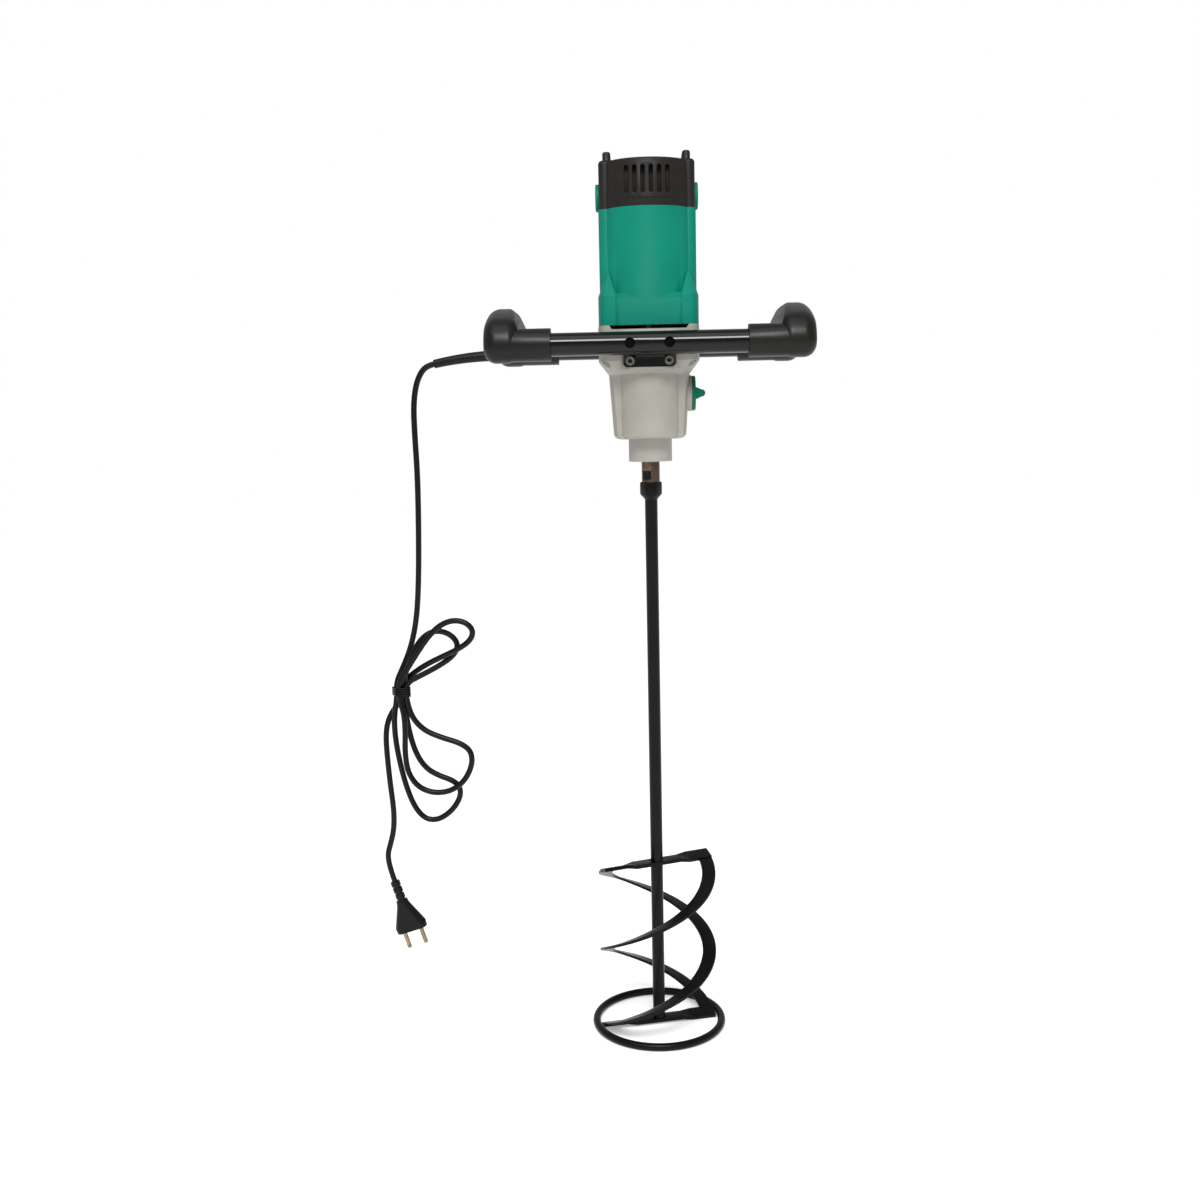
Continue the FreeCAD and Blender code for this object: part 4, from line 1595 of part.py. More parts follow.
def cord_pieces():
    """Free lead, tied hank and tail of one cord, which meet end to end."""
    boot_end = boot_centre(1)
    lead = [boot_end, boot_end + boot_heading(1) * LEAD_START] + vectors(LEAD_ROUTE)
    hank = hank_route()
    tail = vectors(TAIL_ROUTE) + [PLUG_TOP - plug_direction() * TAIL_END, PLUG_TOP]
    lead_end = (lead[-1] + hank[0]) * 0.5
    tail_start = (hank[-1] + tail[0]) * 0.5
    lead_tube, _ = cord_tube(lead + [lead_end], "cord lead")
    hank_tube, hank_path = cord_tube([lead_end] + hank + [tail_start], "cord hank")
    tail_tube, _ = cord_tube([tail_start] + tail, "cord tail")
    print("hank, least gap to itself %.2f" % least_gap(hank_path))
    return lead_tube, hank_tube, tail_tube


def cord_tie():
    """Wire tie wound round the hank's five strands."""
    strands = [tie_run(i, True)[0] for i in range(len(TIE_STRANDS))]
    centre = V(0, 0, 0)
    for strand in strands:
        centre = centre + strand * (1 / len(strands))
    widest = max((strand - centre).Length for strand in strands)
    radius = widest + CORD_DIAMETER / 2 + TIE_WIRE + FIT
    turns = []
    for i in range(TIE_TURNS):
        height = TIE_Z + (i - (TIE_TURNS - 1) / 2) * TIE_PITCH
        turns.append(Part.makeTorus(radius, TIE_WIRE, V(centre.x, centre.y, height)))
    return fused(turns)


def placed_plug(shape):
    """Plug piece moved from its own frame to the end of the cord."""
    copy = shape.copy()
    copy.rotate(ORIGIN, Y_AXIS, -PLUG_TILT)
    copy.translate(PLUG_TOP)
    return copy


def plug_section(width, depth, z):
    """Oblong section of the plug body."""
    half = (width - depth) / 2
    radius = depth / 2
    edges = [Part.makeLine(V(-half, -radius, z), V(half, -radius, z)),
             three_point(V(half, -radius, z), V(half + radius, 0, z), V(half, radius, z)),
             Part.makeLine(V(half, radius, z), V(-half, radius, z)),
             three_point(V(-half, radius, z), V(-half - radius, 0, z), V(-half, -radius, z))]
    return Part.Wire(edges)


def plug_body():
    """Moulded flat plug with a ribbed neck."""
    face = -PLUG_NECK - PLUG_BODY
    ribs = []
    rib_count = 3
    step = PLUG_NECK / rib_count
    for i in range(rib_count):
        ribs.append(disc(PLUG_NECK_RADIUS, -step * (i + 0.72), -step * i - TOUCH))
    core = disc(PLUG_NECK_RADIUS - 1.4, -PLUG_NECK - 1, -1)
    body = loft([plug_section(2.4 * PLUG_NECK_RADIUS, 1.9 * PLUG_NECK_RADIUS, -PLUG_NECK),
                 plug_section(2.8 * PLUG_NECK_RADIUS, 0.8 * PLUG_DEPTH, -PLUG_NECK - 0.15 * PLUG_BODY),
                 plug_section(PLUG_WIDTH, PLUG_DEPTH, -PLUG_NECK - 0.82 * PLUG_BODY),
                 plug_section(PLUG_WIDTH - 1, PLUG_DEPTH - 0.5, face)])
    holes = [disc(PLUG_PIN_RADIUS, face, face + PLUG_PIN_ROOT, side * PLUG_PIN_SPACING / 2) for side in (-1, 1)]
    return placed_plug(cut_all(fused([body, core] + ribs), holes))


def plug_pins():
    """Two round pins, seated in the plug."""
    face = -PLUG_NECK - PLUG_BODY
    pins = []
    for side in (-1, 1):
        pin = disc(PLUG_PIN_RADIUS, face - PLUG_PIN_LENGTH, face + PLUG_PIN_ROOT, side * PLUG_PIN_SPACING / 2)
        pins.append(placed_plug(pin.makeFillet(PLUG_PIN_RADIUS * 0.6, edges_at(pin, face - PLUG_PIN_LENGTH))))
    return Part.makeCompound(pins)


def build():
    """Every named piece of the drill."""
    right_inner, right_outer = grip_halves()
    left_inner = mirrored(right_inner, X_AXIS).cut(trigger_slot())
    left_outer = mirrored(right_outer, X_AXIS).cut(trigger_slot())
    boot = cord_boot()
    boot_hole = rod(BOOT_ROOT_RADIUS + FIT, BOOT_ROOT + V(GRIP_WALL, 0, 0), BOOT_ROOT
                    - V(2 * GRIP_WALL, 0, 0))
    boot_pocket = rod(BOOT_FLANGE_RADIUS + FIT, BOOT_ROOT + V(2 * BOOT_FLANGE, 0, 0), BOOT_ROOT)
    lead, hank, tail = cord_pieces()
    seat = MOTOR_PLATE_Z + MOTOR_PLATE_THICKNESS - MOTOR_BEARING_WIDTH
    return {
        "gear_housing": gear_housing(), "inner_plate": inner_plate(), "motor_plate": motor_plate(),
        "flange_screws": flange_screws(), "motor_housing": motor_housing(), "motor_cover": motor_cover(),
        "cover_screws": cover_screws(), "brush_caps": brush_caps(), "handle_tube_front": handle_tube(-1),
        "handle_tube_rear": handle_tube(1), "handle_brackets": both_sides(handle_bracket(), Y_AXIS),
        "bracket_screws": bracket_screws(), "tube_bolts": tube_bolts(),
        "grip_left_inner": left_inner, "grip_left_outer": cut_all(left_outer, [boot_hole, boot_pocket]),
        "grip_right_inner": right_inner, "grip_right_outer": right_outer, "grip_screws": grip_screws(),
        "trigger": trigger(), "trigger_spring": trigger_spring(), "switch_module": switch_module(),
        "spindle": spindle(), "low_gear": low_gear(), "high_gear": high_gear(),
        "shift_sleeve": shift_sleeve(),
        "shift_fork": shift_fork(), "fork_rod": fork_rod(), "selector_knob": selector_knob(),
        "selector_shaft": selector_shaft(), "countershaft": countershaft(),
        "countershaft_gear": countershaft_gear(),
        "countershaft_bushes": countershaft_bushes(), "spindle_seal": spindle_seal(),
        "spindle_bearing_lower": ball_bearing(SPINDLE_JOURNAL_RADIUS + RUNNING, SPINDLE_BEARING_OUTER,
                                              SPINDLE_BEARING_Z, SPINDLE_BEARING_WIDTH),
        "spindle_bearing_upper": ball_bearing(SPINDLE_TOP_RADIUS + RUNNING, TOP_BEARING_OUTER, INNER_PLATE_Z,
                                              TOP_BEARING_WIDTH),
        "motor_bearing_lower": ball_bearing(MOTOR_BEARING_BORE + RUNNING, MOTOR_BEARING_OUTER, seat,
                                            MOTOR_BEARING_WIDTH),
        "motor_bearing_upper": ball_bearing(ARMATURE_TOP_RADIUS + RUNNING, ARMATURE_TOP_BEARING_OUTER,
                                            ARMATURE_TOP_BEARING_Z, ARMATURE_TOP_BEARING_WIDTH),
        "armature_shaft": armature_shaft(), "armature_core": armature_core(),
        "armature_windings": armature_windings(), "commutator": commutator(), "cooling_fan": cooling_fan(),
        "stator_core": stator_core(), "field_coils": field_coils(), "brush_holders": brush_holders(),
        "carbon_brushes": carbon_brushes(), "brush_springs": brush_springs(),
        "paddle_shaft": paddle_shaft(), "paddle_top_bar": paddle_top_bar(),
        "paddle_bottom_bar": paddle_bottom_bar(),
        "paddle_blade_a": paddle_blade(0), "paddle_blade_b": paddle_blade(1), "paddle_ring": paddle_ring(),
        "strain_relief": boot, "power_cord": lead, "cord_hank": hank, "cord_tail": tail,
        "cord_tie": cord_tie(),
        "plug_body": plug_body(),
    }


def main():
    os.makedirs("parts", exist_ok=True)
    pieces = build()
    pieces["plug_pins"] = plug_pins()
    for name, shape in pieces.items():
        shape.exportStep("parts/" + name + ".step")
        print(name, "solids", len(shape.Solids), "valid", shape.isValid(), "volume %.0f" % shape.Volume)


main()
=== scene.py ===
"""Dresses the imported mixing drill: softened edges, finishes, a smooth cord, a stage and a camera."""
import math

import bmesh
import bpy
from mathutils import Matrix, Vector


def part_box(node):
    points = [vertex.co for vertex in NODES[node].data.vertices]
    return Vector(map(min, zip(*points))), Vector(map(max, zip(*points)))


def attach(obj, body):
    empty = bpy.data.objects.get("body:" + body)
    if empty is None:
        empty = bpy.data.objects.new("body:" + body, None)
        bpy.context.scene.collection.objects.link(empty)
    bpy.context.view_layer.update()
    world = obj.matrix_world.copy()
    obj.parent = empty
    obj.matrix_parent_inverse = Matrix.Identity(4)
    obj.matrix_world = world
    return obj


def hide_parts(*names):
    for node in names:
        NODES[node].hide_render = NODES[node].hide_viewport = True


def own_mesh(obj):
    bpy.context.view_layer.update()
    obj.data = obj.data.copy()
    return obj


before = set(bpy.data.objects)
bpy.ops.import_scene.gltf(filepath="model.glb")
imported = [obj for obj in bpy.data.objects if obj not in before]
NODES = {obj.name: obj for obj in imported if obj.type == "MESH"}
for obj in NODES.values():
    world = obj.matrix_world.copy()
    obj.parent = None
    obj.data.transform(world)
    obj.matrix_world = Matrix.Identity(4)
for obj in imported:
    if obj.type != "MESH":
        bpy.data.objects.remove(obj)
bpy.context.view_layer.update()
MM = 0.001

bl_info = {
    "name": "Mixing drill dressing",
    "version": (1, 0, 0),
    "blender": (4, 5, 0),
    "location": "View3D > Sidebar > Mixing drill",
    "description": "Adds finishes, softened edges, the cord, the stage and the camera to the mixing drill",
    "category": "Object",
}

# Route of the cord in millimetres, from the strain relief through the tied hank to the plug
LEAD_ROUTE = [
    (-222.88, 66, 101.66), (-231.2, 66, 99.9), (-238.5, 66, 91), (-243.5, 66, 77.5), (-246.2, 66, 57),
    (-246, 66, 28), (-244.8, 66, -14), (-246, 66, -72), (-248.5, 67, -128), (-252.5, 68, -168),
    (-260, 69, -198), (-269, 67, -219),
]
TIE_TOP_Z = -234
TIE_BOTTOM_Z = -252
TIE_STRANDS = [(-276, 61), (-268.5, 61), (-264.5, 53.5), (-272, 53.5), (-268, 68.5)]
TAIL_ROUTE = [
    (-279, 68.5, -262), (-288, 67.5, -277), (-291, 66, -294), (-290, 65, -320), (-288, 64, -348),
    (-285, 63, -378), (-286, 62.5, -399), (-290, 62, -414), (-294, 61, -427), (-291.16, 60, -443.63),
    (-287, 60, -457),
]
# Each loop of the hank, in millimetres and degrees: reach and its angle, width, sideways bow, swell, waist,
# depth and slant, then the skew and curl along it and the lean and ripple across it
HANK_LOOPS = [
    (130.4, -85.2, -36.1, 34.4, 1.4, 6.3, -0.8, 0.9, 4.6, -13.7, -6.6, -1.2),
    (72.0, 50.1, 35.2, -7.7, 1.5, -0.2, 7.0, -1.5, 0.0, 0.0, 0.0, 0.0),
    (104.5, -65.6, 53.3, 11.3, -4.6, -9.7, -3.0, 1.5, -3.8, 5.3, -5.9, -3.7),
    (92.6, 52.0, 29.6, -19.6, -3.8, -4.1, -12.0, 2.6, 0.0, 0.0, 0.0, 0.0),
]
LOOP_POINTS = 15
# Smooth tubes: sides added to each half of a square section, steps between points and order of the curve
TUBE_SIDES = 4
TUBE_STEPS = 5
TUBE_ORDER = 3
# Coated wire that ties the hank: thickness, turns, points in a turn, rise of a turn and height of its start
TIE_WIRE = 2.0
TIE_TURNS = 4
TIE_TURN_POINTS = 32
TIE_PITCH = 2.3
TIE_START_Z = -248.0

# Pieces shown as softened copies of their solids, with the width of the rounded edge in millimetres
SOFT_EDGES = {
    "motor_housing": 1.0, "motor_cover": 0.8, "brush_caps": 0.5, "gear_housing": 1.0, "selector_knob": 0.7,
    "handle_brackets": 0.6, "bracket_screws": 0.35, "grip_left_inner": 0.5, "grip_left_outer": 0.5,
    "grip_right_inner": 0.5, "grip_right_outer": 0.5, "trigger": 0.6, "spindle": 0.4, "paddle_shaft": 0.5,
    "paddle_top_bar": 0.5, "paddle_bottom_bar": 0.5, "paddle_blade_a": 0.5, "paddle_blade_b": 0.5,
    "strain_relief": 0.4, "plug_body": 0.6,
}
# Copies of solids: corners closer than the gap, in millimetres, are merged, joints flatter than the flat angle
# dissolve, joints over the hard angle shade as edges, and those over the rounded angle are rounded in steps
MERGE_GAP = 0.02
FLAT_ANGLE = math.radians(0.6)
HARD_ANGLE = math.radians(50)
ROUNDED_ANGLE = math.radians(32)
ROUNDED_STEPS = 2
# Cosine of the angle to the radius within which a face belongs to the round outside of a tube
ROUND_FACE = 0.95
# Faces painted dark, in millimetres: painted shade in the bracket screws' sockets, a painted dark reflection on
# the spindle's spanner flats
BRACKET_SCREW_X = 18.5
BRACKET_SCREW_Z = 97.2
SOCKET_RADIUS = 2.35
SOCKET_STEP = 0.2
# Where the spindle's flats carry a painted dark reflection
SPANNER_FLATS_Z = (-18.4, -9.4)
SPANNER_FLATS_RADIUS = 8.6
# Finishes: where the dark tone ends and the light one starts, spread of the gloss and strength of the relief
TONE_STOPS = (0.35, 0.65)
GLOSS_SPREAD = 0.06
RELIEF_STRENGTH = 0.6
# Light that the room gives and brightness of the white backdrop
ROOM_STRENGTH = 0.5
BACKDROP_STRENGTH = 1.0
# Lamps, in metres: a broad sun, a soft box on each side, and the point of the gearbox that they are turned to
SUN_STRENGTH = 1.0
SUN_WIDTH = math.radians(50)
SUN_PLACE = (-0.5, -1.6, 3.0)
SOFT_BOX_WATTS = 9.8
SOFT_BOX_SIZE = (0.34, 0.4)
SOFT_BOX_PLACE = (0.17, -1.3, 1.0)
LAMP_TARGET = (0, 0, 0.1)
# Floor: its glow and half its side in metres
FLOOR_GLOW = 0.32
FLOOR_HALF = 6.0
# Camera: place and farthest view in metres, turns in degrees, lens and sensor in millimetres
CAMERA_PLACE = (-0.0159, -1.3603, 0.0628)
CAMERA_YAW = -1.583
CAMERA_PITCH = 8.461
CAMERA_ROLL = 1.221
CAMERA_LENS = 40.65
CAMERA_SENSOR = 36.0
CAMERA_REACH = 50.0


def linear(hex_colour):
    """Linear RGBA of an sRGB hex colour."""
    values = [int(hex_colour[i:i + 2], 16) / 255 for i in (1, 3, 5)]
    return [v / 12.92 if v <= 0.04045 else ((v + 0.055) / 1.055) ** 2.4 for v in values] + [1.0]


def add_node(tree, kind, settings=None, inputs=None):
    """Adds one node, sets its properties, and fills or links its inputs."""
    node = tree.nodes.new(kind)
    for key, value in (settings or {}).items():
        setattr(node, key, value)
    for key, value in (inputs or {}).items():
        if isinstance(value, bpy.types.NodeSocket):
            tree.links.new(value, node.inputs[key])
        else:
            node.inputs[key].default_value = value
    return node


def per_metre(size_mm):
    """Texture scale of a pattern whose grain is that many millimetres wide."""
    return 1.0 / (size_mm * MM)


def finish(name, light, dark, patch_mm, rough, grain_mm, grain_height_mm, shader=None):
    """Material whose colour drifts between two tones, with a grain in height and gloss.

    Real grain of a tenth of a millimetre would not show, so each grain is drawn as coarse as it needs to show.
    """
    material = bpy.data.materials.new(name)
    material.use_nodes = True
    tree = material.node_tree
    tree.nodes.clear()
    place = add_node(tree, "ShaderNodeTexCoord").outputs["Object"]
    patch = add_node(tree, "ShaderNodeTexNoise", None,
                     {"Vector": place, "Scale": per_metre(patch_mm), "Detail": 4.0, "Roughness": 0.6})
    tone = add_node(tree, "ShaderNodeValToRGB", None, {"Fac": patch.outputs["Fac"]})
    for index, colour in enumerate((dark, light)):
        tone.color_ramp.elements[index].position = TONE_STOPS[index]
        tone.color_ramp.elements[index].color = linear(colour)
    grain = add_node(tree, "ShaderNodeTexNoise", None,
                     {"Vector": place, "Scale": per_metre(grain_mm), "Detail": 3.0, "Roughness": 0.55})
    gloss = add_node(tree, "ShaderNodeMapRange", None,
                     {"Value": grain.outputs["Fac"], "To Min": rough - GLOSS_SPREAD,
                      "To Max": rough + GLOSS_SPREAD})
    relief = add_node(tree, "ShaderNodeBump", None,
                      {"Height": grain.outputs["Fac"], "Distance": grain_height_mm * MM,
                       "Strength": RELIEF_STRENGTH})
    surface = add_node(tree, "ShaderNodeBsdfPrincipled", None,
                       {"Base Color": tone.outputs["Color"], "Roughness": gloss.outputs["Result"],
                        "Normal": relief.outputs["Normal"], **(shader or {})})
    add_node(tree, "ShaderNodeOutputMaterial", None, {"Surface": surface.outputs["BSDF"]})
    return material


FINISHES = {}


def finish_of(name, *recipe):
    """The named finish, made at its first use."""
    if name not in FINISHES:
        FINISHES[name] = finish(name, *recipe)
    return FINISHES[name]


def dress(piece, material):
    """Gives a piece one material."""
    piece.data.materials.clear()
    piece.data.materials.append(material)


def merged(node, name, body, material):
    """Copy of a node's solid with its facets merged, which stands for the node."""
    mesh = NODES[node].data.copy()
    work = bmesh.new()
    work.from_mesh(mesh)
    bmesh.ops.remove_doubles(work, verts=work.verts, dist=MERGE_GAP * MM)
    bmesh.ops.dissolve_limit(work, angle_limit=FLAT_ANGLE, verts=work.verts, edges=work.edges)
    work.to_mesh(mesh)
    work.free()
    mesh.shade_smooth()
    mesh.set_sharp_from_angle(angle=HARD_ANGLE)
    piece = bpy.data.objects.new(name, mesh)
    bpy.context.scene.collection.objects.link(piece)
    dress(piece, material)
    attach(piece, body)
    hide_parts(node)
    return piece


def softened(node, body, material):
    """Merged copy of a node's solid with its hard edges rounded."""
    piece = merged(node, node + "_moulded", body, material)
    bevel = piece.modifiers.new("rounded edges", "BEVEL")
    bevel.width = SOFT_EDGES[node] * MM
    bevel.segments = ROUNDED_STEPS
    bevel.limit_method = "ANGLE"
    bevel.angle_limit = ROUNDED_ANGLE
    return piece


def round_normals(piece, node):
    """Makes a straight tube along x shade as a true cylinder, so its highlight is one straight line."""
    low, high = (Vector(corner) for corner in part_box(node))
    middle = (low + high) / 2
    mesh = piece.data
    normals = [corner.vector.copy() for corner in mesh.corner_normals]
    for face in mesh.polygons:
        for corner in face.loop_indices:
            place = mesh.vertices[mesh.loops[corner].vertex_index].co
            outward = Vector((0, place.y - middle.y, place.z - middle.z)).normalized()
            if face.normal.dot(outward) > ROUND_FACE:
                normals[corner] = outward
    mesh.normals_split_custom_set(normals)


def dress_faces(piece, material, chosen):
    """Gives a second material to the faces whose centres, in millimetres, pass a test."""
    piece.data.materials.append(material)
    for face in piece.data.polygons:
        if chosen(face.center / MM):
            face.material_index = len(piece.data.materials) - 1


class DrillColours(bpy.types.PropertyGroup):
    """Colours that a user would change."""
    housing: bpy.props.StringProperty(name="Housing", description="Moulded green of the motor housing",
                                      default="#097562")
    housing_shade: bpy.props.StringProperty(name="Housing shade",
                                            description="Darker tone of the moulded green", default="#086D5B")
    casting: bpy.props.StringProperty(name="Casting", description="Blasted aluminium of the gearbox",
                                      default="#9B9991")
    casting_shade: bpy.props.StringProperty(name="Casting shade", description="Darker tone of the casting",
                                            default="#929088")
    black: bpy.props.StringProperty(name="Black plastic", description="Motor cover", default="#1F1D1B")
    black_shade: bpy.props.StringProperty(name="Black plastic shade",
                                          description="Darker tone of the motor cover", default="#191716")


class DrillSizes(bpy.types.PropertyGroup):
    """Sizes that a user would change."""
    cord_diameter: bpy.props.FloatProperty(name="Cord diameter", description="Outside of the cord's jacket",
                                           default=0.0062, unit="LENGTH")
    cord_length: bpy.props.FloatProperty(name="Cord length", description="From strain relief to plug",
                                         default=1.63, unit="LENGTH")


def colours():
    """The scene's colour settings."""
    return bpy.context.scene.drill_colours


def sizes():
    """The scene's size settings."""
    return bpy.context.scene.drill_sizes


def green_abs():
    """ABS, injection moulded: an even satin green with a faint spark-eroded grain."""
    return finish_of("ABS moulded green", colours().housing, colours().housing_shade, 60, 0.4, 1.6, 0.02,
                     {"IOR": 1.53, "Specular IOR Level": 0.09})


def dark_green_abs():
    """ABS, injection moulded in a deeper green than the housing, for the knob that turns."""
    return finish_of("ABS moulded dark green", "#0C6A52", "#095E48", 30, 0.4, 1.6, 0.02,
                     {"IOR": 1.53, "Specular IOR Level": 0.09})


def black_polyamide():
    """Glass-filled polyamide, moulded: a dull charcoal with a coarser grain."""
    return finish_of("Polyamide moulded black", colours().black, colours().black_shade, 40, 0.45, 1.8, 0.04,
                     {"IOR": 1.53, "Specular IOR Level": 0.16})


def grip_plastic():
    """Polypropylene, moulded and polished by hands: satin black."""
    return finish_of("Polypropylene grip black", "#171614", "#121110", 50, 0.34, 1.6, 0.02,
                     {"IOR": 1.49, "Specular IOR Level": 0.2})


def cast_aluminium():
    """Die-cast aluminium, blasted and lacquered: warm pale grey with a soft sparkle."""
    return finish_of("Aluminium die cast and blasted", colours().casting, colours().casting_shade, 45, 0.5, 1.3,
                     0.05, {"Metallic": 0.15, "Specular IOR Level": 0.3})


def tube_lacquer():
    """Steel under gloss black lacquer: a sharp long highlight on the tubes, deep black on the flat brackets."""
    return finish_of("Lacquer gloss black on steel tube", "#060606", "#030303", 80, 0.07, 2.0, 0.002,
                     {"Specular IOR Level": 0.28})


def paddle_paint():
    """Powder coat on mild steel: satin black with a slight orange peel."""
    return finish_of("Powder coat satin black on steel", "#0C0B0A", "#080706", 30, 0.3, 2.2, 0.03,
                     {"IOR": 1.5, "Specular IOR Level": 0.14})


def black_oxide_and_painted_shade():
    """Screw steel with black oxide: dull, nearly black metal, also used as painted shade in the bracket screws'
    sockets and as a painted dark reflection on the spindle's spanner flats.
    """
    return finish_of("Screw steel black oxide and painted shade", "#232323", "#161616", 6, 0.38, 1.2, 0.01, {"Metallic": 0.8})


def zinc_plate():
    """Screw steel under bright zinc: a grey ring round each socket."""
    return finish_of("Screw steel bright zinc", "#7C776F", "#645F5A", 4, 0.3, 0.8, 0.005, {"Metallic": 1.0})


def turned_steel():
    """Turned and ground steel, slightly oiled: brownish grey."""
    return finish_of("Steel turned and ground", "#6C5E50", "#504438", 8, 0.32, 1.0, 0.01, {"Metallic": 1.0})


def cord_jacket():
    """Rubber jacket, extruded: black with a soft sheen along its length."""
    return finish_of("Rubber cord jacket", "#0C0C0B", "#080807", 30, 0.3, 1.5, 0.003,
                     {"IOR": 1.52, "Specular IOR Level": 0.18})


def plated_brass():
    """Brass pins under worn nickel: a warm bright metal."""
    return finish_of("Brass pins nickel plated", "#A08F74", "#83745C", 4, 0.28, 0.8, 0.01, {"Metallic": 1.0})


# Pieces inside the casings and the finish of each
INSIDE = {
    "inner_plate": "machined", "motor_plate": "machined", "shift_fork": "machined",
    "low_gear": "gear", "high_gear": "gear", "shift_sleeve": "gear", "countershaft": "gear",
    "countershaft_gear": "gear", "armature_shaft": "gear", "fork_rod": "gear", "selector_shaft": "gear",
    "brush_springs": "gear", "spindle_bearing_lower": "gear", "spindle_bearing_upper": "gear",
    "motor_bearing_lower": "gear", "motor_bearing_upper": "gear",
    "armature_core": "lamination", "stator_core": "lamination", "armature_windings": "copper",
    "field_coils": "copper", "commutator": "copper", "countershaft_bushes": "bronze",
    "carbon_brushes": "carbon", "spindle_seal": "rubber", "cooling_fan": "fan", "brush_holders": "fan",
    "switch_module": "fan",
}


class DRILL_OT_motor(bpy.types.Operator):
    """Motor housing, cover and brush caps"""
    bl_idname = "drill.motor"
    bl_label = "Motor casing"

    def execute(self, context):
        softened("motor_housing", "machine", green_abs())
        softened("motor_cover", "machine", black_polyamide())
        softened("brush_caps", "machine", green_abs())
        dress(NODES["cover_screws"], black_oxide_and_painted_shade())
        return {"FINISHED"}


class DRILL_OT_gearbox(bpy.types.Operator):
    """Gearbox casting with its screws and speed selector"""
    bl_idname = "drill.gearbox"
    bl_label = "Gearbox"

    def execute(self, context):
        softened("gear_housing", "machine", cast_aluminium())
        softened("selector_knob", "selector", dark_green_abs())
        dress(NODES["flange_screws"], black_oxide_and_painted_shade())
        return {"FINISHED"}


class DRILL_OT_handle(bpy.types.Operator):
    """Handle tubes, brackets, grips and trigger"""
    bl_idname = "drill.handle"
    bl_label = "Handle"

    def execute(self, context):
        for node in ("handle_tube_front", "handle_tube_rear"):
            round_normals(merged(node, node + "_drawn", "machine", tube_lacquer()), node)
        softened("handle_brackets", "machine", tube_lacquer())
        screws = softened("bracket_screws", "machine", zinc_plate())
        head_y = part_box("bracket_screws")[1][1] / MM - SOCKET_STEP
        # Painted shade: the socket faces get the dark steel so that the recesses read as shaded
        dress_faces(screws, black_oxide_and_painted_shade(), lambda place: abs(place.y) < head_y and math.hypot(
            abs(place.x) - BRACKET_SCREW_X, place.z - BRACKET_SCREW_Z) < SOCKET_RADIUS)
        dress(NODES["tube_bolts"], black_oxide_and_painted_shade())
        dress(NODES["grip_screws"], black_oxide_and_painted_shade())
        for side in ("left", "right"):
            softened("grip_%s_inner" % side, "machine", grip_plastic())
            softened("grip_%s_outer" % side, "machine", grip_plastic())
        softened("trigger", "trigger", grip_plastic())
        spring = merged("trigger_spring", "trigger_coil", "machine", turned_steel())
        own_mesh(spring)
        return {"FINISHED"}


class DRILL_OT_paddle(bpy.types.Operator):
    """Spindle and the helical paddle"""
    bl_idname = "drill.paddle"
    bl_label = "Spindle and paddle"

    def execute(self, context):
        spindle = softened("spindle", "spindle", turned_steel())
        # Painted dark reflection: the spanner flats get the dark steel so that they read as reflecting
        # something dark
        dress_faces(spindle, black_oxide_and_painted_shade(), lambda place: SPANNER_FLATS_Z[0] < place.z < SPANNER_FLATS_Z[1]
                    and math.hypot(place.x, place.y) < SPANNER_FLATS_RADIUS)
        for piece in ("shaft", "top_bar", "bottom_bar", "blade_a", "blade_b"):
            softened("paddle_" + piece, "spindle", paddle_paint())
        dress(NODES["paddle_ring"], paddle_paint())
        return {"FINISHED"}


class DRILL_OT_inside(bpy.types.Operator):
    """Finishes of the pieces inside the casings"""
    bl_idname = "drill.inside"
    bl_label = "Inside"

    def execute(self, context):
        recipes = {
            "machined": ("Aluminium machined", "#B9B9B7", "#A2A2A0", 10, 0.35, 1.0, 0.01, {"Metallic": 1.0}),
            "gear": ("Steel hardened gear", "#7E7C78", "#63615E", 6, 0.34, 0.8, 0.01, {"Metallic": 1.0}),
            "lamination": ("Steel stacked sheet", "#6B6C70", "#4C4D50", 3, 0.5, 0.7, 0.03, {"Metallic": 0.9}),
            "copper": ("Copper enamelled wire", "#B26A3C", "#7F4322", 2, 0.4, 0.6, 0.05, {"Metallic": 0.9}),
            "bronze": ("Bronze sintered", "#A98A52", "#86693A", 2, 0.5, 0.6, 0.03, {"Metallic": 0.9}),
            "carbon": ("Carbon pressed", "#232323", "#161616", 2, 0.6, 0.5, 0.02, None),
            "rubber": ("Nitrile rubber moulded", "#191919", "#101010", 6, 0.6, 0.8, 0.02, None),
            "fan": ("Polyamide plain black", "#2A2A29", "#1E1E1D", 15, 0.5, 1.0, 0.02, None),
        }
        for node, kind in INSIDE.items():
            dress(NODES[node], finish_of(*recipes[kind]))
        return {"FINISHED"}


def hank_loop(before, after, loop):
    """Points of one loop between two runs through the tie, from a few sine waves."""
    reach, angle, width, bow, swell, waist, depth, slant, skew, curl, lean, ripple = loop
    out = Vector((math.cos(math.radians(angle)), 0, math.sin(math.radians(angle))))
    side = Vector((-out.z, 0, out.x))
    points = []
    for i in range(1, LOOP_POINTS + 1):
        share = i / (LOOP_POINTS + 1)
        turn = math.pi * share
        along = reach * math.sin(turn) + swell * math.sin(3 * turn)
        along += skew * math.sin(2 * turn) + curl * math.sin(4 * turn)
        across = width / 2 * math.sin(2 * turn) + bow * math.sin(turn) ** 2 + waist * math.sin(4 * turn)
        across += lean * math.sin(3 * turn) + ripple * math.sin(6 * turn)
        inward = depth * math.sin(turn) + slant * math.sin(2 * turn)
        points.append(before.lerp(after, share) + out * along + side * across + Vector((0, inward, 0)))
    return points


